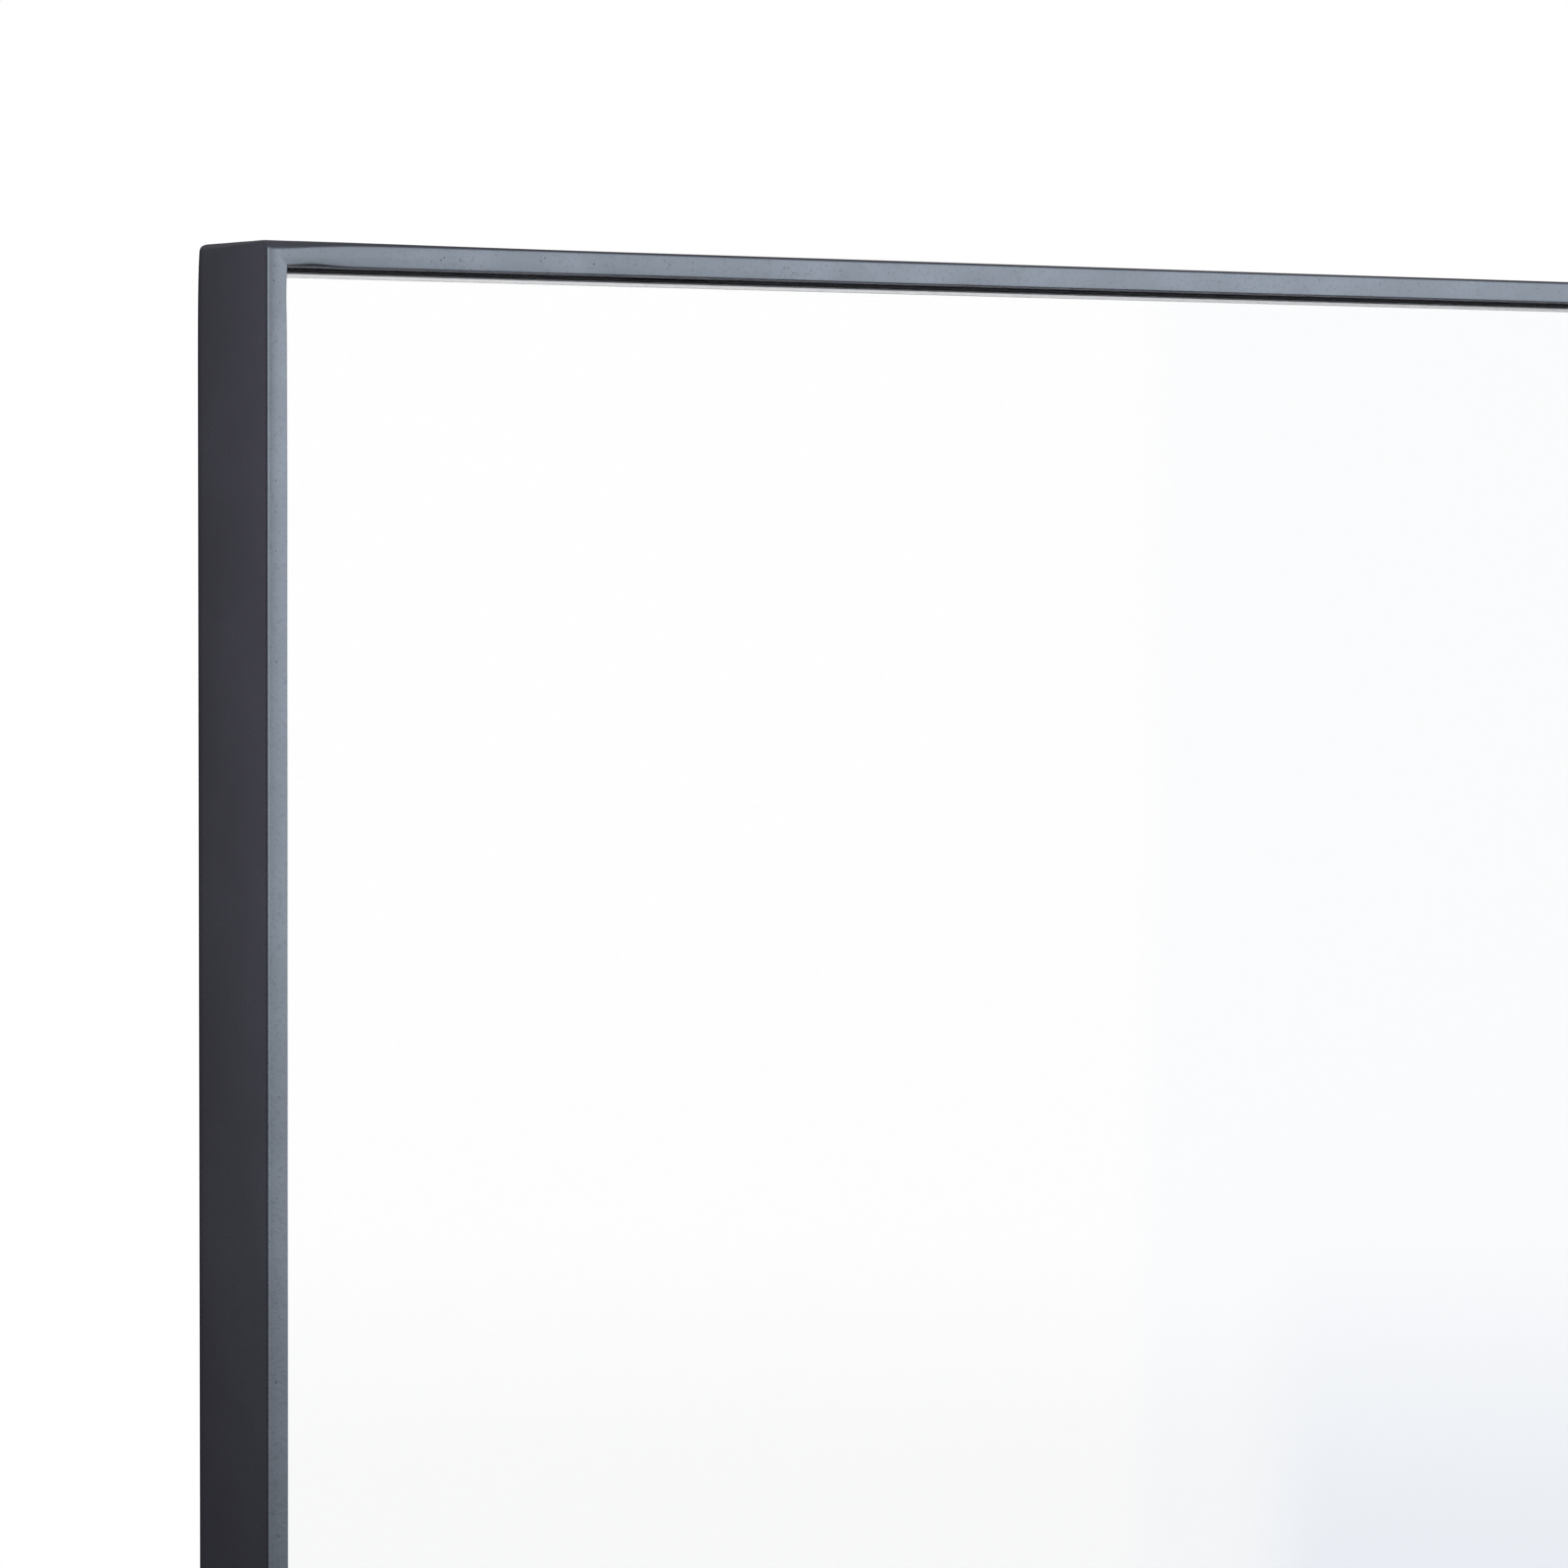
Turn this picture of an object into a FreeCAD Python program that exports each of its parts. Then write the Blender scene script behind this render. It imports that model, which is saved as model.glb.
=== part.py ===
import FreeCAD, Part
import math
import os

# Slim wall mirror: a welded frame of flat steel bar with the glass set deep inside it.
# Millimetres. X runs right as seen from the front, Y runs into the wall, Z is up.
# The origin is the centre of the wall plane, which the four rear bumpers touch.

V = FreeCAD.Vector

# Overall size of the welded frame
FRAME_WIDTH = 609.6
FRAME_HEIGHT = 914.4

# Flat bar of the rails and stiles, standing on edge, and its welded corners
BAR_FACE = 5.0
BAR_DEPTH = 32.0
BAR_ARRIS = 0.5
INNER_ARRIS = 0.15
CORNER_ROUND_FRONT = 0.9
CORNER_ROUND_REAR = 2.4
CORNER_WELD_LEG = 3.0
WELD_CROWN = 0.58

# Mirror glass, set back from the front edge of the bars
REVEAL_DEPTH = 15.0
GLASS_THICKNESS = 4.0
GLASS_EDGE_GAP = 1.0
GLASS_ARRIS = 1.0
SILVER_THICKNESS = 0.1
FILM_THICKNESS = 0.2
FILM_MARGIN = 2.0

# Two blocks under the glass stand on the bottom rail
SETTING_BLOCK_COUNT = 2
SETTING_BLOCK_LENGTH = 40.0
SETTING_BLOCK_INSET = 140.0

# Strips of foam tape bond the glass to the board
TAPE_THICKNESS = 0.8
TAPE_WIDTH = 25.0
TAPE_COUNT = 5
TAPE_EDGE_INSET = 40.0
TAPE_END_INSET = 30.0

# Backing board
BOARD_THICKNESS = 8.0
BOARD_EDGE_GAP = 0.3

# Steel tabs welded inside the bars hold the board by screws from behind
TAB_THICKNESS = 1.5
TAB_REACH = 18.0
TAB_WIDTH = 22.0
TAB_ROUND = 5.0
TAB_HOLE_FROM_BAR = 11.5
TAB_WELD_LEG = 1.5
TAB_WELD_LENGTH = 16.0
TABS_PER_STILE = 3
TABS_PER_RAIL = 2
TAB_END_INSET_STILE = 72.0
TAB_END_INSET_RAIL = 110.0

# Pan-head screws with a cross drive
SCREW_RADIUS = 1.7
SCREW_HOLE_GAP = 0.15
SCREW_BITE = 6.0
SCREW_TIP_LENGTH = 1.6
SCREW_TIP_RADIUS = 0.5
PILOT_EXTRA = 0.6
HEAD_RADIUS = 3.1
HEAD_HEIGHT = 1.7
HEAD_CROWN = 0.7
DRIVE_WIDTH = 0.9
DRIVE_SPAN = 3.4
DRIVE_DEPTH = 0.9

# D-ring hangers: a strap folded into an eye, and a wire ring that turns in it
WIRE_RADIUS = 1.1
RING_INNER_WIDTH = 17.0
RING_SIDE = 5.0
RING_BEND = 2.4
EYE_CLEARANCE = 0.1
STRAP_THICKNESS = 0.9
STRAP_WIDTH = 12.7
STRAP_LENGTH = 29.0
STRAP_ROUND = 4.0
STRAP_NECK_ROUND = 1.2
STRAP_FIRST_SCREW = 8.2
STRAP_SCREW_PITCH = 14.4
STRAP_SCREW_COUNT = 2
RING_FOLDED_TILT_DEGREES = 5.0
HANGER_SIDE_INSET = 34.0
HANGER_DROP = 150.0

# Soft bumpers on the board keep the steel off the wall
BUMPER_RADIUS = 6.0
BUMPER_PROUD = 1.0
BUMPER_ROUND = 0.8
BUMPER_INSET = 26.0

# Depth planes, from the wall at zero towards the front
REAR_Y = -BUMPER_PROUD
FRONT_Y = REAR_Y - BAR_DEPTH
GLASS_FRONT_Y = FRONT_Y + REVEAL_DEPTH
GLASS_BACK_Y = GLASS_FRONT_Y + GLASS_THICKNESS
SILVER_BACK_Y = GLASS_BACK_Y + SILVER_THICKNESS
FILM_BACK_Y = SILVER_BACK_Y + FILM_THICKNESS
BOARD_FRONT_Y = FILM_BACK_Y + TAPE_THICKNESS
BOARD_BACK_Y = BOARD_FRONT_Y + BOARD_THICKNESS
TAB_BACK_Y = BOARD_BACK_Y + TAB_THICKNESS
STRAP_BACK_Y = BOARD_BACK_Y + 2 * STRAP_THICKNESS

# Sizes inside the frame
INSIDE_WIDTH = FRAME_WIDTH - 2 * BAR_FACE
INSIDE_HEIGHT = FRAME_HEIGHT - 2 * BAR_FACE
GLASS_WIDTH = INSIDE_WIDTH - 2 * GLASS_EDGE_GAP
GLASS_HEIGHT = INSIDE_HEIGHT - 2 * GLASS_EDGE_GAP
BOARD_WIDTH = INSIDE_WIDTH - 2 * BOARD_EDGE_GAP
BOARD_HEIGHT = INSIDE_HEIGHT - 2 * BOARD_EDGE_GAP

# Screws pass freely through their holes
SCREW_HOLE_RADIUS = SCREW_RADIUS + SCREW_HOLE_GAP

# Hanger sizes that follow from the wire and the strap
EYE_RADIUS = WIRE_RADIUS + EYE_CLEARANCE
EYE_OUTER = EYE_RADIUS + STRAP_THICKNESS
EYE_Y = BOARD_BACK_Y + EYE_OUTER
RING_HALF = RING_INNER_WIDTH / 2 + WIRE_RADIUS

# Points closer than this are the same point
SAME_POINT = 1e-6

ORIGIN = V(0, 0, 0)
ALONG_X = V(1, 0, 0)
INTO_WALL = V(0, 1, 0)

# The four bars, each a quarter turn about Y on from the one before
BARS = ("bottom_rail", "left_stile", "top_rail", "right_stile")
RAILS = ("bottom_rail", "top_rail")
STILES = ("left_stile", "right_stile")

# Each hanger: place of its eye, and whether it hangs the mirror upright, its ring folded down at rest,
# or on its side, its ring lying out towards the left stile
HANGER_X = INSIDE_WIDTH / 2 - HANGER_SIDE_INSET
HANGER_Z = INSIDE_HEIGHT / 2 - HANGER_DROP
SIDE_HANGER_X = HANGER_DROP - INSIDE_WIDTH / 2
SIDE_HANGER_Z = INSIDE_HEIGHT / 2 - HANGER_SIDE_INSET
HANGERS = {
    "upper_left": (-HANGER_X, HANGER_Z, True),
    "upper_right": (HANGER_X, HANGER_Z, True),
    "side_top": (SIDE_HANGER_X, SIDE_HANGER_Z, False),
    "side_bottom": (SIDE_HANGER_X, -SIDE_HANGER_Z, False),
}


def export(name, *solids):
    """Write one node; like solids that share a node stay separate in it."""
    shape = solids[0] if len(solids) == 1 else Part.makeCompound(list(solids))
    shape.exportStep(os.path.join("parts", name + ".step"))


def slab(width, height, front, back):
    """A plate centred on the frame, from one depth plane to another."""
    return Part.makeBox(width, back - front, height, V(-width / 2, front, -height / 2))


def spread(count, span):
    """Places of a row of like pieces, spaced evenly about the middle."""
    if count == 1:
        return [0.0]
    return [span * (k / (count - 1) - 0.5) for k in range(count)]


def prism(points, y, depth):
    """A straight-sided prism along Y from (x, z) points."""
    corners = [V(x, y, z) for x, z in points]
    face = Part.Face(Part.makePolygon(corners + corners[:1]))
    return face.extrude(INTO_WALL * depth)


def bar_turn(bar):
    """Turn of a bar about Y from the bottom rail, in degrees."""
    return 360 * BARS.index(bar) / len(BARS)


def inner_face(bar):
    """Distance of a bar's inner face from the frame's centre."""
    return (INSIDE_HEIGHT if bar in RAILS else INSIDE_WIDTH) / 2


def on_bar(shape, bar, along):
    """Move a shape built at the frame's centre, reaching +Z, onto the inside of a bar."""
    placed = shape.translated(V(along, 0, -inner_face(bar)))
    return placed.rotated(ORIGIN, INTO_WALL, bar_turn(bar))


def rounded_rectangle(width, height, radius, y):
    """A closed outline at one depth: four straight sides joined by quarter arcs."""
    x = width / 2
    z = height / 2
    bow = radius * (1 - math.sqrt(0.5))
    arcs = []
    for sx, sz in ((1, -1), (1, 1), (-1, 1), (-1, -1)):
        on_rail = V(sx * (x - radius), y, sz * z)
        on_stile = V(sx * x, y, sz * (z - radius))
        middle = V(sx * (x - bow), y, sz * (z - bow))
        ends = (on_rail, on_stile) if sx * sz < 0 else (on_stile, on_rail)
        arcs.append((ends[0], middle, ends[1]))
    edges = []
    for k, arc in enumerate(arcs):
        edges.append(Part.Arc(*arc).toShape())
        edges.append(Part.LineSegment(arc[2], arcs[(k + 1) % 4][0]).toShape())
    return Part.Wire(edges)


def rectangle(width, height, y):
    """A closed outline at one depth with square corners."""
    x = width / 2
    z = height / 2
    corners = [V(-x, y, -z), V(x, y, -z), V(x, y, z), V(-x, y, z)]
    return Part.makePolygon(corners + corners[:1])


def dressed_ring():
    """The bars as welded: corners ground flush and rounder towards the wall, all edges eased."""
    trim = 2 * BAR_ARRIS
    outside = Part.makeLoft([
        rounded_rectangle(FRAME_WIDTH - trim, FRAME_HEIGHT - trim, CORNER_ROUND_FRONT, FRONT_Y),
        rounded_rectangle(FRAME_WIDTH, FRAME_HEIGHT, CORNER_ROUND_FRONT, FRONT_Y + BAR_ARRIS),
        rounded_rectangle(FRAME_WIDTH, FRAME_HEIGHT, CORNER_ROUND_REAR, REAR_Y - BAR_ARRIS),
        rounded_rectangle(FRAME_WIDTH - trim, FRAME_HEIGHT - trim, CORNER_ROUND_REAR, REAR_Y),
    ], True, True)
    flare = 2 * INNER_ARRIS
    opening = Part.makeLoft([
        rectangle(INSIDE_WIDTH + flare, INSIDE_HEIGHT + flare, FRONT_Y),
        rectangle(INSIDE_WIDTH, INSIDE_HEIGHT, FRONT_Y + INNER_ARRIS),
        rectangle(INSIDE_WIDTH, INSIDE_HEIGHT, REAR_Y - INNER_ARRIS),
        rectangle(INSIDE_WIDTH + flare, INSIDE_HEIGHT + flare, REAR_Y),
    ], True, True)
    return outside.cut(opening)


def mitred_bar(ring, bar):
    """One bar of the ring, cut at 45 degrees through both of its corners."""
    half_length = (FRAME_WIDTH if bar in RAILS else FRAME_HEIGHT) / 2
    low = -inner_face(bar) - 2 * BAR_FACE
    high = -inner_face(bar) + BAR_FACE
    wide = half_length + BAR_FACE
    narrow = half_length - 2 * BAR_FACE
    block = prism([(-wide, low), (wide, low), (narrow, high), (-narrow, high)], FRONT_Y, BAR_DEPTH)
    return ring.common(block.rotated(ORIGIN, INTO_WALL, bar_turn(bar))).Solids[0]


def bead(leg):
    """The end face of a fillet weld in the corner of +X and +Z, slightly convex."""
    crown = WELD_CROWN * leg
    edges = [
        Part.LineSegment(ORIGIN, V(leg, 0, 0)).toShape(),
        Part.Arc(V(leg, 0, 0), V(crown, 0, crown), V(0, 0, leg)).toShape(),
        Part.LineSegment(V(0, 0, leg), ORIGIN).toShape(),
    ]
    return Part.Face(Part.Wire(edges))


def corner_weld(sx, sz):
    """A weld in one inner corner, in the recess behind the board."""
    weld = bead(CORNER_WELD_LEG).extrude(INTO_WALL * (REAR_Y - BAR_ARRIS - BOARD_BACK_Y))
    turn = {(-1, -1): 0, (-1, 1): 90, (1, 1): 180, (1, -1): 270}[sx, sz]
    weld.rotate(ORIGIN, INTO_WALL, turn)
    return weld.translated(V(sx * INSIDE_WIDTH / 2, BOARD_BACK_Y, sz * INSIDE_HEIGHT / 2))


def tab():
    """A flat tab that reaches +Z from the inside of a bar, round at its free end."""
    half = TAB_WIDTH / 2
    plate = Part.makeBox(TAB_WIDTH, TAB_THICKNESS, TAB_REACH, V(-half, BOARD_BACK_Y, 0))
    free_corners = []
    for edge in plate.Edges:
        if all(abs(vertex.Z - TAB_REACH) < SAME_POINT for vertex in edge.Vertexes):
            if abs(edge.Vertexes[0].X - edge.Vertexes[1].X) < SAME_POINT:
                free_corners.append(edge)
    plate = plate.makeFillet(TAB_ROUND, free_corners)
    hole = Part.makeCylinder(
        SCREW_HOLE_RADIUS,
        TAB_THICKNESS,
        V(0, BOARD_BACK_Y, TAB_HOLE_FROM_BAR),
        INTO_WALL,
    )
    return plate.cut(hole)


def tab_weld():
    """The weld along a tab's root, between its rear face and the bar."""
    weld = bead(TAB_WELD_LEG).extrude(INTO_WALL * TAB_WELD_LENGTH)
    weld.translate(V(0, -TAB_WELD_LENGTH / 2, 0))
    weld.rotate(ORIGIN, V(0, 0, 1), 90)
    weld.translate(V(0, TAB_BACK_Y, 0))
    return weld


def tab_places():
    """The bar and the place along it of every tab."""
    rail_span = INSIDE_WIDTH - 2 * TAB_END_INSET_RAIL
    stile_span = INSIDE_HEIGHT - 2 * TAB_END_INSET_STILE
    places = []
    for bar in RAILS:
        places += [(bar, along) for along in spread(TABS_PER_RAIL, rail_span)]
    for bar in STILES:
        places += [(bar, along) for along in spread(TABS_PER_STILE, stile_span)]
    return places


def screw(clamped):
    """A screw along Y: head towards the wall from Y zero, through what it clamps into the board."""
    length = clamped + SCREW_BITE
    dome = (HEAD_RADIUS ** 2 + HEAD_CROWN ** 2) / (2 * HEAD_CROWN)
    half_angle = math.asin(HEAD_RADIUS / dome) / 2
    rim = V(HEAD_RADIUS, HEAD_HEIGHT - HEAD_CROWN, 0)
    crown = V(dome * math.sin(half_angle), HEAD_HEIGHT - dome * (1 - math.cos(half_angle)), 0)
    top = V(0, HEAD_HEIGHT, 0)
    outline = [
        top,
        V(0, -length, 0),
        V(SCREW_TIP_RADIUS, -length, 0),
        V(SCREW_RADIUS, SCREW_TIP_LENGTH - length, 0),
        V(SCREW_RADIUS, 0, 0),
        V(HEAD_RADIUS, 0, 0),
        rim,
    ]
    edges = [Part.LineSegment(a, b).toShape() for a, b in zip(outline, outline[1:])]
    edges.append(Part.Arc(rim, crown, top).toShape())
    body = Part.Face(Part.Wire(edges)).revolve(ORIGIN, INTO_WALL, 360)
    floor = HEAD_HEIGHT - DRIVE_DEPTH
    wide = DRIVE_SPAN / 2
    thin = DRIVE_WIDTH / 2
    across = Part.makeBox(DRIVE_SPAN, DRIVE_DEPTH, DRIVE_WIDTH, V(-wide, floor, -thin))
    upright = Part.makeBox(DRIVE_WIDTH, DRIVE_DEPTH, DRIVE_SPAN, V(-thin, floor, -wide))
    return body.cut(across.fuse(upright)).Solids[0]


def pilot():
    """The hole for a screw in the board, open at the board's back."""
    depth = SCREW_BITE + PILOT_EXTRA
    bottom = V(0, BOARD_BACK_Y - depth, 0)
    return Part.makeCylinder(SCREW_HOLE_RADIUS, depth, bottom, INTO_WALL)


def hanger_screw_places():
    """How far below its eye each screw of a strap stands."""
    return [STRAP_FIRST_SCREW + STRAP_SCREW_PITCH * k for k in range(STRAP_SCREW_COUNT)]


def at_hanger(shape, hanger):
    """Move a shape built with its eye at the frame's centre and its ring side up to its place."""
    x, z, upright = HANGERS[hanger]
    turn = 0 if upright else -90
    return shape.rotated(ORIGIN, INTO_WALL, turn).translated(V(x, 0, z))


def strap():
    """A strip folded flat on itself round the eye: two leaves on the board, holes through both."""
    rise = EYE_OUTER - 2 * STRAP_THICKNESS
    neck = STRAP_NECK_ROUND
    reach = math.sqrt((EYE_OUTER + neck) ** 2 - (neck - rise) ** 2)
    share = EYE_OUTER / (EYE_OUTER + neck)
    leave = V(0, EYE_Y + (neck - rise) * share, -reach * share)
    neck_end = V(0, STRAP_BACK_Y, -reach)
    lean = math.atan2(neck - rise, reach)
    middle = (math.pi / 2 - lean) / 2
    neck_middle = V(0, STRAP_BACK_Y + neck - neck * math.cos(middle), -reach + neck * math.sin(middle))
    tail_low = V(0, BOARD_BACK_Y, -STRAP_LENGTH)
    tail_high = V(0, STRAP_BACK_Y, -STRAP_LENGTH)
    eye_low = V(0, BOARD_BACK_Y, 0)
    eye_top = V(0, EYE_Y, EYE_OUTER)
    edges = [
        Part.LineSegment(tail_low, eye_low).toShape(),
        Part.Arc(eye_low, eye_top, leave).toShape(),
        Part.Arc(leave, neck_middle, neck_end).toShape(),
        Part.LineSegment(neck_end, tail_high).toShape(),
        Part.LineSegment(tail_high, tail_low).toShape(),
    ]
    body = Part.Face(Part.Wire(edges)).extrude(ALONG_X * STRAP_WIDTH)
    body.translate(V(-STRAP_WIDTH / 2, 0, 0))
    tail_corners = []
    for edge in body.Edges:
        at_tail = all(abs(vertex.Z + STRAP_LENGTH) < SAME_POINT for vertex in edge.Vertexes)
        if at_tail and abs(edge.Vertexes[0].X - edge.Vertexes[1].X) < SAME_POINT:
            tail_corners.append(edge)
    body = body.makeFillet(STRAP_ROUND, tail_corners)
    body = body.cut(Part.makeCylinder(EYE_RADIUS, STRAP_WIDTH, V(-STRAP_WIDTH / 2, EYE_Y, 0), ALONG_X))
    for drop in hanger_screw_places():
        start = V(0, BOARD_BACK_Y, -drop)
        hole = Part.makeCylinder(SCREW_HOLE_RADIUS, 2 * STRAP_THICKNESS, start, INTO_WALL)
        body = body.cut(hole)
    return body.Solids[0]


def ring():
    """A wire bent to a D: its straight bar lies in the eye and its bow points up."""
    bend = RING_BEND
    bow = bend * (1 - math.sqrt(0.5))
    half = RING_HALF
    bar_end = half - bend

    def at(x, z):
        return V(x, EYE_Y, z)

    edges = [
        Part.LineSegment(at(-bar_end, 0), at(bar_end, 0)).toShape(),
        Part.Arc(at(bar_end, 0), at(half - bow, bow), at(half, bend)).toShape(),
        Part.LineSegment(at(half, bend), at(half, RING_SIDE)).toShape(),
        Part.Arc(at(half, RING_SIDE), at(0, RING_SIDE + half), at(-half, RING_SIDE)).toShape(),
        Part.LineSegment(at(-half, RING_SIDE), at(-half, bend)).toShape(),
        Part.Arc(at(-half, bend), at(bow - half, bow), at(-bar_end, 0)).toShape(),
    ]
    pieces = []
    for edge in edges:
        tangent = edge.tangentAt(edge.FirstParameter)
        section = Part.Wire(Part.makeCircle(WIRE_RADIUS, edge.valueAt(edge.FirstParameter), tangent))
        pieces.append(Part.Wire(edge).makePipeShell([section], True, True))
    return pieces[0].multiFuse(pieces[1:]).Solids[0]


def resting_ring(hanger):
    """A ring as it rests: the upper pair hangs folded over its strap, the side pair lies out."""
    shape = ring()
    if HANGERS[hanger][2]:
        shape.rotate(V(0, EYE_Y, 0), ALONG_X, RING_FOLDED_TILT_DEGREES - 180)
    return at_hanger(shape, hanger)


def bumper(sx, sz):
    """A soft round bumper stuck to the board near one corner."""
    x = sx * (INSIDE_WIDTH / 2 - BUMPER_INSET)
    z = sz * (INSIDE_HEIGHT / 2 - BUMPER_INSET)
    disc = Part.makeCylinder(BUMPER_RADIUS, -BOARD_BACK_Y, V(x, BOARD_BACK_Y, z), INTO_WALL)
    rim = [edge for edge in disc.Edges if abs(edge.CenterOfMass.y) < SAME_POINT]
    return disc.makeFillet(BUMPER_ROUND, rim)


def mirror_glass():
    """Float glass with a seamed arris round its front edge."""
    trim = 2 * GLASS_ARRIS
    return Part.makeLoft([
        rectangle(GLASS_WIDTH - trim, GLASS_HEIGHT - trim, GLASS_FRONT_Y),
        rectangle(GLASS_WIDTH, GLASS_HEIGHT, GLASS_FRONT_Y + GLASS_ARRIS),
        rectangle(GLASS_WIDTH, GLASS_HEIGHT, GLASS_BACK_Y),
    ], True, True)


def setting_block(x):
    """A block between the glass and the bottom rail, behind the arris."""
    front = GLASS_FRONT_Y + GLASS_ARRIS
    corner = V(x - SETTING_BLOCK_LENGTH / 2, front, -INSIDE_HEIGHT / 2)
    return Part.makeBox(SETTING_BLOCK_LENGTH, GLASS_BACK_Y - front, GLASS_EDGE_GAP, corner)


def tape(x):
    """An upright strip of foam tape between the film and the board."""
    length = GLASS_HEIGHT - 2 * TAPE_END_INSET
    corner = V(x - TAPE_WIDTH / 2, FILM_BACK_Y, -length / 2)
    return Part.makeBox(TAPE_WIDTH, TAPE_THICKNESS, length, corner)


def backing_board():
    """The board, with a pilot hole for every tab screw and strap screw."""
    board = slab(BOARD_WIDTH, BOARD_HEIGHT, BOARD_FRONT_Y, BOARD_BACK_Y)
    holes = []
    for bar, along in tab_places():
        holes.append(on_bar(pilot().translated(V(0, 0, TAB_HOLE_FROM_BAR)), bar, along))
    for hanger in HANGERS:
        for drop in hanger_screw_places():
            holes.append(at_hanger(pilot().translated(V(0, 0, -drop)), hanger))
    return board.cut(Part.makeCompound(holes)).Solids[0]


def board_screw():
    """A screw in a tab that reaches +Z from the frame's centre."""
    return screw(TAB_THICKNESS).translated(V(0, TAB_BACK_Y, TAB_HOLE_FROM_BAR))


def hanger_screws():
    """Both screws of every strap."""
    screws = []
    for hanger in HANGERS:
        for drop in hanger_screw_places():
            one = screw(2 * STRAP_THICKNESS).translated(V(0, STRAP_BACK_Y, -drop))
            screws.append(at_hanger(one, hanger))
    return screws


def export_frame():
    """Four mitred bars, their corner welds, and the tabs welded inside them."""
    ring_of_bars = dressed_ring()
    for bar in BARS:
        export(bar, mitred_bar(ring_of_bars, bar))
    corners = [(sx, sz) for sx in (-1, 1) for sz in (-1, 1)]
    export("corner_welds", *[corner_weld(sx, sz) for sx, sz in corners])
    export("fixing_tabs", *[on_bar(tab(), bar, along) for bar, along in tab_places()])
    export("tab_welds", *[on_bar(tab_weld(), bar, along) for bar, along in tab_places()])
    export("wall_bumpers", *[bumper(sx, sz) for sx, sz in corners])


def export_mirror_pack():
    """Glass, its coatings, and the board that carries it."""
    export("mirror_glass", mirror_glass())
    export("silver_coating", slab(GLASS_WIDTH, GLASS_HEIGHT, GLASS_BACK_Y, SILVER_BACK_Y))
    film_width = GLASS_WIDTH - 2 * FILM_MARGIN
    film_height = GLASS_HEIGHT - 2 * FILM_MARGIN
    export("safety_film", slab(film_width, film_height, SILVER_BACK_Y, FILM_BACK_Y))
    block_span = GLASS_WIDTH - 2 * SETTING_BLOCK_INSET
    export("setting_blocks", *[setting_block(x) for x in spread(SETTING_BLOCK_COUNT, block_span)])
    tape_span = GLASS_WIDTH - 2 * TAPE_EDGE_INSET
    export("foam_tape", *[tape(x) for x in spread(TAPE_COUNT, tape_span)])
    export("backing_board", backing_board())
    export("board_screws", *[on_bar(board_screw(), bar, along) for bar, along in tab_places()])


def export_hangers():
    """A strap and a ring for each hanging place, and the screws of the straps."""
    for hanger in HANGERS:
        export("strap_" + hanger, at_hanger(strap(), hanger))
        export("ring_" + hanger, resting_ring(hanger))
    export("hanger_screws", *hanger_screws())


os.makedirs("parts", exist_ok=True)
export_frame()
export_mirror_pack()
export_hangers()
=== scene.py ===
import math

import bmesh
import bpy
from bpy.props import FloatProperty, FloatVectorProperty, PointerProperty
from mathutils import Matrix, Vector, noise


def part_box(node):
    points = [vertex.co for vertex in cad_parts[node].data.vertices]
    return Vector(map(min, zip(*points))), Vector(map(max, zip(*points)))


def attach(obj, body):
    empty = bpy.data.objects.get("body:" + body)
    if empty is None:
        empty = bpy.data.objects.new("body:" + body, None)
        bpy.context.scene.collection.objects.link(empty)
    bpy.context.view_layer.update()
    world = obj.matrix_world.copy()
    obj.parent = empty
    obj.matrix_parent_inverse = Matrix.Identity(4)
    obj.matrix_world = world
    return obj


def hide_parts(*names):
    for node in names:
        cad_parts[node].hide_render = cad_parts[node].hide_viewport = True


bl_info = {
    "name": "Flat-bar wall mirror",
    "version": (1, 0, 0),
    "blender": (4, 5, 0),
    "location": "3D View > Sidebar > Mirror",
    "description": "Dresses the packed wall mirror with its finishes and sets it on a plain stage",
    "category": "Object",
}

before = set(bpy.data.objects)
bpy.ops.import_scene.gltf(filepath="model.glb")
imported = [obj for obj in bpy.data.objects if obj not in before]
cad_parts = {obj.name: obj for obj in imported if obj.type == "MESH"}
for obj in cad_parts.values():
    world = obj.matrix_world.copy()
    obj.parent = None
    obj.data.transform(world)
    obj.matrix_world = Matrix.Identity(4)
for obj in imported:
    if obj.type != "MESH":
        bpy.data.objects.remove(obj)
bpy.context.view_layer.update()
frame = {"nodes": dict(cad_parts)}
NODES = frame["nodes"]
MAIN_BODY = "mirror"

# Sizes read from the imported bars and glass, in metres
STILE_LOW, STILE_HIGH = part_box("right_stile")
GLASS_LOW, GLASS_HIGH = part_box("mirror_glass")
BAR_FACE = STILE_HIGH.x - STILE_LOW.x
FRONT_Y = STILE_LOW.y
REAR_Y = STILE_HIGH.y
BAR_DEPTH = REAR_Y - FRONT_Y
HALF_WIDTH = STILE_HIGH.x
HALF_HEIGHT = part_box("top_rail")[1].z

# Each bar: its turn about Y from the bottom rail, in degrees, the distance of its outer face
# from the centre, and half its length
BARS = {
    "bottom_rail": (0, HALF_HEIGHT, HALF_WIDTH),
    "left_stile": (90, HALF_WIDTH, HALF_HEIGHT),
    "top_rail": (180, HALF_HEIGHT, HALF_WIDTH),
    "right_stile": (270, HALF_WIDTH, HALF_HEIGHT),
}
HANGERS = ("upper_left", "upper_right", "side_top", "side_bottom")


# Settings


def length(name, description, default):
    """A property in metres."""
    return FloatProperty(
        name=name, description=description, default=default, unit="LENGTH", precision=6)


def share(name, description, default):
    """A property from zero to one."""
    return FloatProperty(
        name=name, description=description, default=default, subtype="FACTOR", min=0, max=1)


def bearing(name, description, degrees):
    """A property that is an angle."""
    return FloatProperty(
        name=name, description=description, default=math.radians(degrees), subtype="ANGLE")


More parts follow.
